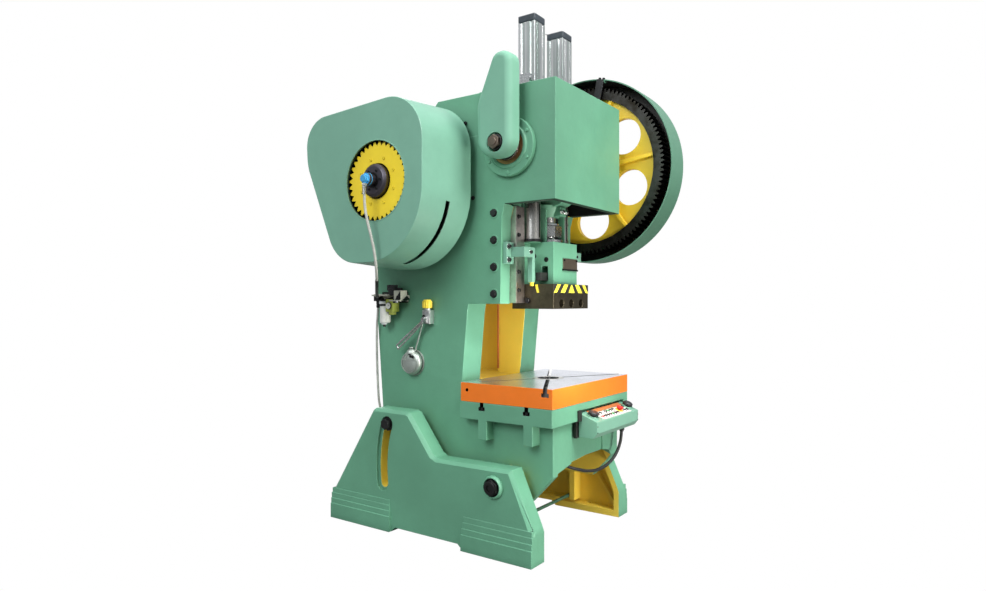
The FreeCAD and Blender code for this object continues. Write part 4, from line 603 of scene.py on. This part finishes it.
# ================================================================ fittings and small parts made here
class Make:
    """Collects simple solids, in millimetres, into one piece that rides with a body."""

    def __init__(self, name, body, slot_name, mats):
        self.bm = bmesh.new()
        self.name, self.body, self.slot = name, body, slot_name
        self.mats = mats if isinstance(mats, (list, tuple)) else [mats]

    def faces(self, verts, faces, mat=0):
        vs = [self.bm.verts.new(Vector(v) * MM) for v in verts]
        for f in faces:
            try:
                self.bm.faces.new([vs[i] for i in f]).material_index = mat
            except ValueError:
                pass

    def box(self, x0, x1, y0, y1, z0, z1, mat=0, turn=None):
        pts = [(x0, y0, z0), (x1, y0, z0), (x1, y1, z0), (x0, y1, z0), (x0, y0, z1), (x1, y0, z1), (x1, y1, z1), (x0, y1, z1)]
        if turn:
            axis, deg, about = turn
            m = Matrix.Rotation(math.radians(deg), 3, axis)
            pts = [m @ (Vector(q) - Vector(about)) + Vector(about) for q in pts]
        self.faces(pts, [(0, 3, 2, 1), (4, 5, 6, 7), (0, 1, 5, 4), (1, 2, 6, 5), (2, 3, 7, 6), (3, 0, 4, 7)], mat)

    def prism(self, outline, axis, lo, hi, mat=0):
        """outline in the two other axes, in order; axis X: (y, z), Y: (x, z), Z: (x, y)."""
        put = {"X": lambda a, b, c: (c, a, b), "Y": lambda a, b, c: (a, c, b), "Z": lambda a, b, c: (a, b, c)}[axis]
        n = len(outline)
        pts = [put(a, b, lo) for a, b in outline] + [put(a, b, hi) for a, b in outline]
        self.faces(pts, [tuple(range(n)), tuple(range(2 * n - 1, n - 1, -1))] + [(i, i + n, (i + 1) % n + n, (i + 1) % n) for i in range(n)], mat)

    def lathe(self, at, axis, profile, seg=32, mat=0, sides=None, phase=0.0):
        """Turned or polygonal solid: profile (distance along the axis, radius) from at along the axis vector."""
        w = Vector(axis).normalized()
        u = w.orthogonal().normalized()
        v = w.cross(u)
        seg = sides or seg
        rows = []
        for d, r in profile:
            if r <= 1e-6:
                rows.append([self.bm.verts.new((Vector(at) + w * d) * MM)])
            else:
                rows.append([self.bm.verts.new((Vector(at) + w * d + (u * math.cos(t) + v * math.sin(t)) * r) * MM)
                             for t in [2 * math.pi * k / seg + phase for k in range(seg)]])
        for a, b in zip(rows, rows[1:]):
            if len(a) == 1 and len(b) == 1:
                continue
            for k in range(seg):
                k2 = (k + 1) % seg
                if len(a) == 1:
                    q = (a[0], b[k2], b[k])
                elif len(b) == 1:
                    q = (a[k], a[k2], b[0])
                else:
                    q = (a[k], a[k2], b[k2], b[k])
                self.bm.faces.new(q).material_index = mat

    def rod(self, at, axis, r, length, mat=0, seg=28, soft=0.0):
        s_ = min(soft, r * 0.6, length * 0.4)
        prof = [(0, 0), (0, r - s_)] + ([(s_, r), (length - s_, r)] if s_ else [(length, r)]) + ([(length, r - s_)] if s_ else []) + [(length, 0)]
        self.lathe(at, axis, prof, seg, mat)

    def ring(self, at, axis, r_out, r_in, length, mat=0, seg=40, soft=0.0):
        c = soft
        self.lathe(at, axis, [(0, r_in), (0, r_out - c), (c, r_out), (length - c, r_out), (length, r_out - c), (length, r_in), (0, r_in)], seg, mat)

    def hexbolt(self, at, axis, across, height, washer=None, mat=0, wmat=None, phase=0.3):
        base = 0.0
        if washer:
            self.rod(at, axis, washer, across * 0.10, wmat if wmat is not None else mat, 28, 0.5)
            base = across * 0.10
        a = Vector(at) + Vector(axis).normalized() * base
        r = across / math.sqrt(3)
        self.lathe(a, axis, [(0, 0), (0, r), (height * 0.86, r), (height, r * 0.86), (height, 0)], mat=mat, sides=6, phase=phase)

    def caphead(self, at, axis, r, height, mat=0, hole=None):
        """Round cap screw with its hexagon socket."""
        self.lathe(at, axis, [(0, 0), (0, r), (height * 0.85, r), (height, r * 0.9), (height, r * 0.52), (height * 0.45, r * 0.50), (height * 0.45, 0)], 24, mat)

    def pipe(self, pts, r, mat=0, seg=14, round_=0.45, steps=5):
        P_ = [Vector(q) for q in pts]
        path = [P_[0]]
        for k in range(1, len(P_) - 1):
            a, q, b = P_[k - 1], P_[k], P_[k + 1]
            t = round_ * min((a - q).length, (b - q).length)
            s0, s1 = q + (a - q).normalized() * t, q + (b - q).normalized() * t
            for i in range(steps + 1):
                f = i / steps
                path.append(s0 * (1 - f) ** 2 + q * 2 * f * (1 - f) + s1 * f * f)
        path.append(P_[-1])
        prev_u = None
        rows = []
        for k, c in enumerate(path):
            d = (path[min(k + 1, len(path) - 1)] - path[max(k - 1, 0)]).normalized()
            u = d.orthogonal().normalized() if prev_u is None else (prev_u - d * prev_u.dot(d)).normalized()
            prev_u = u
            v = d.cross(u)
            rows.append([self.bm.verts.new((c + (u * math.cos(t) + v * math.sin(t)) * r) * MM) for t in [2 * math.pi * j / seg for j in range(seg)]])
        for a, b in zip(rows, rows[1:]):
            for k in range(seg):
                self.bm.faces.new((a[k], a[(k + 1) % seg], b[(k + 1) % seg], b[k])).material_index = mat
        self.bm.faces.new(list(reversed(rows[0]))).material_index = mat
        self.bm.faces.new(rows[-1]).material_index = mat

    def done(self, bevel=0.0, seg=2, angle=35.0):
        bmesh.ops.recalc_face_normals(self.bm, faces=self.bm.faces)
        me = bpy.data.meshes.new(self.name)
        self.bm.to_mesh(me)
        self.bm.free()
        for m in self.mats:
            me.materials.append(m)
        for q in me.polygons:
            q.use_smooth = True
        o = bpy.data.objects.new(self.name, me)
        scene.collection.objects.link(o)
        if bevel:
            b = o.modifiers.new("round", "BEVEL")
            b.width = bevel * MM
            b.segments = seg
            b.limit_method = "ANGLE"
            b.angle_limit = math.radians(angle)
            wn = o.modifiers.new("normals", "WEIGHTED_NORMAL")
            wn.weight = 80
        else:
            e = o.modifiers.new("split", "EDGE_SPLIT")
            e.split_angle = math.radians(angle)
        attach(o, self.body)
        return o


LEFT, FRONT, UPW = (-1, 0, 0), (0, -1, 0), (0, 0, 1)
SY, SZ, CY, CZ = 85.4, 1745.0, -430.0, 1906.0
bolt_steel = metal("steel_bolt_black", (0.050, 0.050, 0.052, 1.0), 0.38, dirt_and_corner_shade=0.2)
zinc = metal("steel_zinc_fitting", (0.70, 0.71, 0.72, 1.0), 0.24, dirt_and_corner_shade=0.2)
stripe_yellow = paint("paint_stripe_yellow", (0.90, 0.74, 0.06, 1.0), 0.4, 0.1, dirt_and_corner_shade=0.2, wear_and_edge_highlight=0.3)
plate_brown = metal("plate_bronze_worn", (0.30, 0.235, 0.175, 1.0), 0.42, dirt_and_corner_shade=0.3)
rust_paint_and_shadow = paint("paint_rust_and_shadow_strip", (0.50, 0.145, 0.040, 1.0), 0.5, 0.3, dirt_and_corner_shade=0.3, wear_and_edge_highlight=0.5, drift=0.25)
lamp_green = plastic("lamp_green", (0.04, 0.36, 0.12, 1.0), 0.25, dirt_and_corner_shade=0.0)

# clutch ring: toothed front plate, 36 pointed teeth
m = Make("clutch_teeth", "flywheel", "yellow_paint", yellow_bright)
outline_r = []
N = 36
for k in range(N):
    a0 = 2 * math.pi * k / N
    st = 2 * math.pi / N
    for f, r in ((0.0, 168.0), (0.34, 187.0), (0.56, 187.0), (0.90, 168.0)):
        outline_r.append((a0 + st * f, r))
for k in range(len(outline_r)):
    (a, ra), (b, rb) = outline_r[k], outline_r[(k + 1) % len(outline_r)]
    pts = []
    for x in (-712.5, -706.0):
        for t, r in ((a, ra), (b, rb), (b, 84.5), (a, 84.5)):
            pts.append((x, SY + r * math.cos(t), SZ + r * math.sin(t)))
    m.faces(pts, [(0, 1, 2, 3), (4, 7, 6, 5), (0, 4, 5, 1), (2, 6, 7, 3)])
bmesh.ops.remove_doubles(m.bm, verts=m.bm.verts, dist=1e-6)
m.done(0.8, 2)
m = Make("clutch_ring_screws", "flywheel", "yellow_paint", yellow_bright)
for k in range(8):
    a = 2 * math.pi * (k + 0.5) / 8
    m.caphead((-712.0, SY + 112 * math.cos(a), SZ + 112 * math.sin(a)), LEFT, 7.5, 4.5)
m.done()
m = Make("clutch_hub_screws", "drive", "dark_steel", bolt_steel)
for k in range(6):
    a = 2 * math.pi * k / 6
    m.caphead((-741.6, SY + 48 * math.cos(a), SZ + 48 * math.sin(a)), LEFT, 6.5, 4.0)
m.ring((-741.8, SY, SZ), LEFT, 38, 31.2, 3.0, 0, 40, 0.6)
m.done()
m = Make("union_ferrule", "frame", "blue_fitting", [zinc, blue_pl])
m.rod((-795, SY, 1722), (0, 0, -1), 12.5, 10, 0, 6)
m.rod((-795, SY, 1709), (0, 0, -1), 11, 9, 0, 24, 1.5)
m.rod((-795.2, SY, 1700), (0, 0.02, -1), 9.2, 30, 0, 24, 1.5)
m.ring((-770, SY, SZ), LEFT, 29.5, 27.0, 4.0, 1, 36, 0.8)
m.done()

# rim bead and bolts of the flywheel guard, its brackets to the frame
m = Make("guard_bracket_bolts", "frame", "dark_steel", bolt_steel)
for y, z in ((-156, 2060), (-204, 1685)):
    m.hexbolt((-341, y, z), LEFT, 15, 8, 11)
m.box(-345, -341, -182, -128, 2026, 2040, 0, ("X", 52, (-343, -155, 2033)))
m.done()
m = Make("guard_rim_bead", "frame", "sheet_green", green_sheet)
m.ring((-729.6, SY, SZ), (1, 0, 0), 195.0, 189.6, 5.0, 0, 72, 1.2)
m.done(0.0, 2, 40)

# pads behind the guide bolts
m = Make("gib_bolt_pads", "frame", "cast_green", green)
for sx in (-1, 1):
    for z in (1602, 1471, 1341, 1211):
        m.ring((sx * 340.5, -330, z), (sx, 0, 0), 27, 20.3, 3.6, 0, 36, 1.0)
m.done()
m = Make("stop_bracket_bolts", "frame", "dark_steel", [bolt_steel, zinc])
for sx in (-1, 1):
    for z in (1376, 1440):
        m.hexbolt((sx * 307, -394, z), FRONT, 17, 9, 16, 0, 1)
    m.hexbolt((sx * 230, -470, 1414), FRONT, 15, 8, 11, 0, 1)
m.done()
m = Make("guide_lock_screws", "frame", "dark_steel", bolt_steel)
for sx in (-1, 1):
    for z in (1230, 1320, 1500, 1590):
        m.hexbolt((sx * 238, -404, z), FRONT, 16, 9, 11)
m.done()

# slide: plugs, front plate, lock nut, clamp screw
m = Make("slide_plugs", "slide", "dark_steel", bolt_steel)
for y, z in ((-422, 1402), (-492, 1382)):
    for sx in (-1, 1):
        m.ring((sx * 119.6, y, z), (sx, 0, 0), 12.5, 8.0, 2.2, 0, 28, 0.6)
        m.rod((sx * 119.4, y, z), (sx, 0, 0), 9.0, 1.6, 0, 24)
m.done()
m = Make("slide_front_plate", "slide", "dark_steel", [plate_brown, bolt_steel])
m.box(-30, 117, -537.5, -533.6, 1338, 1392)
m.box(-34, 119, -541.5, -533.6, 1330, 1338, 1)
for x in (-20, 107):
    m.hexbolt((x, -537.5, 1383), FRONT, 10, 5, None, 1)
m.done(0.6)
m = Make("screw_clamp", "slide", "bright_steel", [zinc, bolt_steel, green])
m.ring((0, CY, 1560.5), UPW, 58, 40.6, 12, 0, 48, 2.0)
m.ring((0, CY, 1470.5), UPW, 74, 42, 20, 0, 48, 3.0)
for k in range(4):
    a = math.radians(45 + 90 * k)
    m.rod((58 * math.cos(a), CY + 58 * math.sin(a), 1489), UPW, 8, 9, 1, 20, 1.0)
m.done(0.0, 2, 40)
m = Make("rod_clamp_bolts", "slide", "bright_steel", [zinc, bolt_steel])
for z in (1628,):
    for sx in (-1, 1):
        m.hexbolt((sx * 20, -522, z), FRONT, 20, 12, 14, 0, 0)
m.done()
m = Make("post_bars", "slide", "cast_green", green)
for sx in (-1, 1):
    m.box(sx * 91 - 5, sx * 91 + 5, -476, -440, 1468.6, 1638)
m.done(1.5)
m = Make("post_keyways", "slide", "dark_steel", bolt_steel)
for sx in (-1, 1):
    m.box(sx * 139 - 5, sx * 139 + 5, -464.6, -460, 1492, 1660)
    m.ring((sx * 139, -424, 1470), UPW, 46, 40.3, 14, 0, 44, 1.5)
m.done(0.5)

# clamp block: stripes across the front, screws in its holes
m = Make("block_stripe_ground", "slide", "dark_steel", black_paint_and_shade)
m.box(-178, 178, -568.7, -567.8, 1217, 1259)
m.done()
m = Make("block_stripes", "slide", "yellow_paint", stripe_yellow)
for low, top in (((-178, -151), (-142, -111)), ((-112, -70), (-74, -36)), ((-31, 31), (-4, 4)), ((70, 112), (36, 74)), ((151, 178), (111, 142))):
    m.prism([(low[0], 1217.5), (low[1], 1217.5), (top[1], 1258.5), (top[0], 1258.5)], "Y", -569.3, -568.5)
m.prism([(-486, 1217.5), (-474, 1217.5), (-462, 1258.5), (-478, 1258.5)], "X", -179.5, -178.8)
m.done()
m = Make("block_screws", "slide", "dark_steel", bolt_steel)
for x in (-100, 0, 100):
    m.lathe((x, -520, 1165), FRONT, [(0, 0), (0, 17), (18, 17), (20, 15.5), (20, 8.5), (10, 8.2), (10, 0)], 28)
m.done()
m = Make("block_side_screws", "slide", "dark_steel", bolt_steel)
for sx in (-1, 1):
    for y in (-423, -390):
        m.hexbolt((sx * 179, y, 1180), (sx, 0, 0), 24, 14, None)
    m.rod((sx * 179, -362, 1228), (sx, 0, 0), 13, 5, 0, 26, 1.2)
m.done()

# pivot bolt surrounds and sockets
m = Make("pivot_collars", "base", "cast_green", green)
for sx in (-1, 1):
    m.lathe((sx * 489.5, -432, 327), (sx, 0, 0), [(0, 43.3), (0, 53), (10, 53), (14, 49.5), (19.5, 47), (19.5, 43.3), (0, 43.3)], 56)
m.done()
m = Make("pivot_sockets", "base", "dark_steel", bolt_steel)
for sx in (-1, 1):
    m.lathe((sx * 517.5, -432, 327), (sx, 0, 0), [(0, 0), (0, 30), (6, 30), (8, 28), (8, 16), (3, 15), (3, 0)], 40)
m.done()

# bolts of the gear guard's stays, hub plate and ribs of the gear
m = Make("guard_stay_bolts", "frame", "dark_steel", bolt_steel)
for y, z in ((-480, 2140), (-120, 2130), (-300, 1520)):
    ry, rz = y - CY, z - CZ
    L = math.hypot(ry, rz)
    for d in (-12, 12):
        m.hexbolt((387, y + ry / L * 0 - rz / L * d, z + ry / L * d), LEFT, 14, 8, None)
    e = 512 / L
    for d in (-12, 12):
        m.hexbolt((404, CY + ry * e - rz / L * d, CZ + rz * e + ry / L * d), (0, ry, rz), 13, 6, 9)
m.done()
m = Make("gear_hub_plate", "crank", "dark_steel", [bolt_steel, turned])
m.rod((545.5, CY, CZ), (1, 0, 0), 82, 12, 0, 56, 2.0)
for k in range(3):
    a = math.radians(90 + 120 * k)
    m.hexbolt((557.5, CY + 48 * math.cos(a), CZ + 48 * math.sin(a)), (1, 0, 0), 22, 12, 15)
m.done(0.0, 2, 40)
m = Make("gear_hub_ribs", "crank", "yellow_paint", yellow)
for k in range(6):
    a = math.radians(232.4 + 60 * k)
    c_, s_ = math.cos(a), math.sin(a)
    for x0, x1 in ((412, 434.5), (467.5, 516)):
        pts = []
        for r, w in ((100, 13), (406, 9)):
            for sgn in (-1, 1):
                for x in (x0, x1):
                    pts.append((x, CY + r * c_ - sgn * w * s_, CZ + r * s_ + sgn * w * c_))
        m.faces(pts, [(0, 1, 3, 2), (4, 6, 7, 5), (0, 4, 5, 1), (2, 3, 7, 6), (0, 2, 6, 4), (1, 5, 7, 3)])
m.done(2.0)

# crank end: nut and washer
m = Make("crank_end_nut", "crank", "dark_steel", nut_brown)
m.lathe((-478.3, CY, CZ), LEFT, [(0, 0), (0, 33), (3, 34), (14, 34), (16, 31), (16, 0)], mat=0, sides=6, phase=0.2)
m.rod((-493.5, CY, CZ), LEFT, 19, 5, 0, 28, 1.5)
m.done(0.8)
m = Make("housing_screws", "frame", "cast_green", green)
for sx in (-1, 1):
    for k in range(6):
        a = math.radians(30 + 60 * k)
        m.hexbolt((sx * 369, CY + 123 * math.cos(a), CZ + 123 * math.sin(a)), (sx, 0, 0), 15, 7, None)
m.done()
m = Make("bearing_screws", "frame", "cast_green", green)
for sx in (-1, 1):
    for k in range(6):
        a = math.radians(60 * k)
        m.hexbolt((sx * 351, SY + 99 * math.cos(a), SZ + 99 * math.sin(a)), (sx, 0, 0), 16, 9, None)
m.done()

# balance cylinders: cap screws, tie rods' nuts, ports
m = Make("cylinder_fittings", "frame", "bright_steel", [zinc, bolt_steel])
for sx in (-1, 1):
    cx = sx * 139
    for a in (-1, 1):
        for b in (-1, 1):
            m.caphead((cx + a * 34, -418 + b * 34, 2585.4), UPW, 5.4, 5.6, 0)
    m.ring((cx, -418, 2592), UPW, 11, 5, 0.4, 1, 24)
    m.box(cx - 50, cx + 50, -468, -368, 2200, 2213, 1)
    m.rod((cx - 10, -467, 2232), FRONT, 9, 7, 0, 6)
    m.rod((cx - 10, -474, 2232), FRONT, 7, 8, 0, 20, 0.8)
m.box(-214, -188.3, -452, -398, 2238, 2292)
m.rod((-201, -425, 2239), (0, 0, -1), 17, 30, 0, 24, 2)
m.rod((-201, -425, 2212), (0, 0, -1), 22, 11, 1, 6)
m.rod((-201, -452, 2266), FRONT, 13, 10, 0, 6)
m.done(0.0, 2, 35)
m = Make("crown_top_cover", "frame", "sheet_green", [green_sheet, bolt_steel])
m.box(-60, 180, -300, -60, 2199.5, 2206)
for x in (-48, 168):
    for y in (-288, -72):
        m.hexbolt((x, y, 2206), UPW, 13, 7, 9, 1)
m.done(1.0)

# two-hand desk: collars, small buttons and lamps, the bare strip behind them
TYV, TZV = -97 / math.hypot(97, 36), -36 / math.hypot(97, 36)
UPV = (0.0, TZV, -TYV)


def on_desk(x, along, lift=0.0):
    return (x, -680 + TYV * along + UPV[1] * lift, 640 + TZV * along + UPV[2] * lift)


m = Make("desk_buttons", "frame", "black_plastic", [black_pl, zinc, red_pl, lamp_green, white_pl])
k = 0
for row, along in enumerate((50, 80)):
    for x in (-30, -2, 26, 54, 82, 110, 138) + ((222, 250) if row == 0 else (166, 222, 250)):
        if x == 166 and row == 1:
            continue
        m.ring(on_desk(x, along, 2.8), UPV, 10.5, 7.6, 3.2, 1, 26, 0.6)
        m.rod(on_desk(x, along, 2.8), UPV, 7.4, 7.0, [0, 0, 4, 0, 3, 0, 0, 4, 0, 2, 0, 0, 0, 3, 0, 0, 0, 0][k % 18], 22, 1.2)
        k += 1
m.done(0.0, 2, 40)
m = Make("desk_panel_screws", "frame", "bright_steel", zinc)
for x in (-42, 264):
    for along in (39, 93):
        m.caphead(on_desk(x, along, 2.8), UPV, 3.4, 1.6)
m.done()
m = Make("desk_strip", "frame", "orange_steel", rust_paint_and_shadow)
pts = [on_desk(x, al, li) for x in (-64, 292) for al, li in ((3, -0.3), (29, -0.3), (29, 2.2), (3, 2.2))]
m.faces(pts, [(0, 1, 2, 3), (7, 6, 5, 4), (0, 4, 5, 1), (1, 5, 6, 2), (2, 6, 7, 3), (3, 7, 4, 0)])
m.done(0.5)
m = Make("stop_collar", "frame", "yellow_plastic", yellow_pl)
m.ring(on_desk(186, 64, 2.8), UPV, 21, 12.6, 3.0, 0, 40, 0.8)
m.done()
m = Make("desk_seams", "frame", "dark_steel", bolt_steel)
for x in (-126, 339):
    for z in (545, 575):
        m.caphead((x, -777.2 if z < 600 else -777.2, z + 8), FRONT, 3.0, 1.2)
m.hexbolt((-100, -672, 600), UPW, 12, 6, 9)
m.done()
m = Make("cable_glands", "frame", "black_plastic", black_pl)
m.rod((268, -718, 513.5), (0, 0, -1), 14.5, 9, 0, 6)
m.rod((267.9, -718, 505), (0, 0, -1), 11, 9, 0, 24, 1.5)
m.rod((-182.2, -570.4, 516), (0, 0, -1), 11, 16, 0, 24, 1.5)
m.rod((-318, 432, 526), UPW, 9.5, 12, 0, 24, 1.5)
m.done()

# air unit: coil, gauges, fittings, bracket
m = Make("air_unit_parts", "frame", "black_plastic", [black_pl, zinc, cream, white_pl, bolt_steel, lime])
m.box(-400, -366, 276, 322, 1232, 1262, 0)
m.box(-404, -362, 270, 300, 1206, 1234, 0)
m.box(-390, -372, 236, 262, 1231.5, 1246, 4)
m.rod((-414, 226, 1196), LEFT, 9, 10, 4, 20, 1)
m.rod((-413, 240, 1183), (0, 0, -1), 7, 16, 1, 20, 1)
m.rod((-399, 262, 1190), (0, 0, -1), 15, 24, 4, 24, 2)
m.rod((-415.4, 293, 1152), LEFT, 19, 7, 4, 32, 1.5)
m.rod((-422.4, 293, 1152), LEFT, 16.5, 0.8, 3, 32)
m.box(-423.6, -423.0, 284, 294, 1151, 1153.4, 4)
m.ring((-389, 352, 1176), UPW, 25, 10, 5, 0, 32, 1)
m.rod((-389, 352, 1052.5), (0, 0, -1), 7, 13, 4, 20, 1)
m.lathe((-389, 344, 1062), UPW, [(0, 20), (0, 25), (6, 28.6), (104, 28.6), (108, 27), (108, 24.5), (8, 24.5), (8, 20), (0, 20)], 40, 3)
m.ring((-389, 344, 1150), UPW, 30.5, 28.2, 12, 0, 40, 1)
m.box(-424, -341, 296, 412, 1203, 1211, 2)
m.box(-418, -350, 214, 292, 1176, 1182, 2)
m.box(-345, -340.5, 226, 410, 1168, 1226, 4)
for y in (236, 400):
    m.hexbolt((-346, y, 1217), LEFT, 9, 5, 7, 4)
m.rod((-418, 375.3, 1197.4), (-0.707, 0.686, -0.03), 12.5, 9, 4, 6)
m.rod((-379, 408, 1159), (0, 0, -1), 9.6, 18, 4, 20, 1.4)
m.done(0.8, 2, 40)
m = Make("regulator_ribs", "knob", "black_plastic", black_pl)
for k in range(16):
    a = 2 * math.pi * k / 16
    m.rod((-389 + 20.6 * math.cos(a), 293 + 20.6 * math.sin(a), 1212), UPW, 2.0, 26, 0, 8, 0.5)
m.done()
m = Make("oil_pump_parts", "frame", "bright_steel", [zinc, bolt_steel, yellow_pl])
m.hexbolt((-377, 60, 1118), LEFT, 9, 5, 6)
m.hexbolt((-377, 84, 1118), LEFT, 9, 5, 6)
m.rod((-377.2, 84, 1098), LEFT, 9, 4, 1, 24, 1)
m.rod((-387.2, 72, 1081), LEFT, 9, 2, 1, 24, 0.5)
m.ring((-367, 70, 1133), UPW, 20, 17.2, 6, 0, 36, 1)
for k in range(14):
    a = 2 * math.pi * k / 14
    m.rod((-367 + 24.0 * math.cos(a), 70 + 24.0 * math.sin(a), 1144), UPW, 1.8, 30, 2, 8, 0.5)
m.rod((-363, 104, 1064), (0, -1, 0), 6.5, 7, 0, 6)
m.done()
m = Make("oil_pot_parts", "frame", "bright_steel", [satin, bolt_steel])
m.lathe((-366, 178, 902), UPW, [(0, 0), (0, 26), (6, 27), (16, 24), (24, 16), (27, 7), (27, 0)], 36)
m.ring((-366, 178, 896), UPW, 22, 10, 7, 1, 36, 1)
m.rod((-389.2, 166, 890), LEFT, 7.5, 1.4, 1, 24, 0.4)
m.rod((-389.2, 152, 888), LEFT, 8.5, 1.6, 1, 24, 0.4)
m.ring((-341.2, 180, 855), LEFT, 69, 60, 3.0, 0, 56, 1)
m.rod((-384, 214, 866), (0, -33, 45), 7.5, 52, 0, 20, 2)
m.ring((-386.8, 180, 855), LEFT, 52, 48, 1.8, 0, 56, 0.6)
m.box(-390.0, -388.2, 134, 226, 868, 875)
m.done(0.0, 2, 40)
m = Make("lever_grip", "lever", "bright_steel", zinc)
m.rod((-394, 235, 960), (0, -163 / 203.0, 121 / 203.0), 6.6, 74, 0, 20, 2.5)
m.ring((-400.5, 72, 1081), LEFT, 11, 5, 2.5, 0, 28, 0.6)
m.done()

# bolster: filler ring lip; other small pieces on the frame follow
m = Make("bolster_ring", "frame", "bright_steel", turned)
m.ring((0, -432, 780.6), UPW, 80, 57, 1.3, 0, 64, 0.4)
m.done()
# painted shadow: black plates in the gap between the desk and the wall, and at its edges
m = Make("desk_back_painted_shadow", "frame", "dark_steel", black_paint_and_shade)
m.box(-146, -112, -674, -660, 520, 646)
m.box(350, 362, -676, -660, 530, 600)
m.box(-166, -134.2, -698, -690.4, 604, 656)
m.done(1.0)
# painted shade: a black ring behind the gear teeth stands for the unlit inside of the guard
m = Make("gear_guard_painted_shade_ring", "frame", "sheet_green", black_paint_and_shade)
m.ring((554, -430, 1906), (1, 0, 0), 503, 424, 5, 0, 96, 0.8)
m.done()
# painted shadow: a rust-brown strip along the rear edge of the right jamb, in the throat
m = Make("throat_corner_painted_shadow", "frame", "orange_steel", rust_paint_and_shadow)
m.box(180, 185.6, 4, 14, 792, 1158, 0)
m.done(0.5)
m = Make("bed_lip_bolts", "frame", "dark_steel", bolt_steel)
for sx in (-1, 1):
    for y in (-300, -553):
        m.rod((sx * 384, y, 660), (sx, 0, 0), 9, 15, 0, 6)
m.done()

# motor: cooling fins, fan cowl, terminal box lid, feet bolts
m = Make("motor_fins", "frame", "motor_green", green_sheet)
for k in range(40):
    a = 2 * math.pi * k / 40
    c_, s_ = math.cos(a), math.sin(a)
    if s_ < -0.62:
        continue
    pts = []
    for r in (111, 122):
        for sgn in (-1, 1):
            for x in (-318, -42):
                pts.append((x, 435 + r * c_ - sgn * 2 * s_, 1925 + r * s_ + sgn * 2 * c_))
    m.faces(pts, [(0, 1, 3, 2), (4, 6, 7, 5), (0, 4, 5, 1), (2, 3, 7, 6), (0, 2, 6, 4), (1, 5, 7, 3)])
m.done(0.6)
m = Make("motor_trim", "frame", "motor_green", [green_sheet, bolt_steel, black_paint_and_shade])
m.box(-256, -124, 369, 501, 2074.5, 2081)
for x in (-248, -132):
    for y in (377, 493):
        m.caphead((x, y, 2081), UPW, 4.5, 3, 1)
for k in range(6):
    m.ring((29.6, 435, 1925), (1, 0, 0), 26 + 14 * k, 21 + 14 * k, 2.0, 2, 56, 0.4)
for k in range(4):
    a = math.radians(45 + 90 * k)
    m.hexbolt((-352.5, 435 + 84 * math.cos(a), 1925 + 84 * math.sin(a)), LEFT, 13, 7, None, 1)
for x in (-285, -85):
    for y in (352, 518):
        m.hexbolt((x, y, 1808), UPW, 17, 9, 13, 1)
m.rod((-190, 369, 2050), (0, -1, 0), 13, 10, 1, 6)
m.done(0.8)

# ribs inside the two open leg castings
for nm, sx in (("left", -1), ("right", 1)):
    m = Make("leg_ribs_" + nm, "base", "cast_green", inside)
    a, b_ = sorted((sx * 398, sx * 465))
    for (y0, z0), (y1, z1), w in (((-384, 374), (-598, 60), 7), ((300, 560), (590, 60), 7)):
        L = math.hypot(y1 - y0, z1 - z0)
        ny, nz = -(z1 - z0) / L * w, (y1 - y0) / L * w
        m.prism([(y0 + ny, z0 + nz), (y1 + ny, z1 + nz), (y1 - ny, z1 - nz), (y0 - ny, z0 - nz)], "X", a + (30 if sx > 0 else -1), b_ + (1 if sx > 0 else -30))
    m.done(2.0)
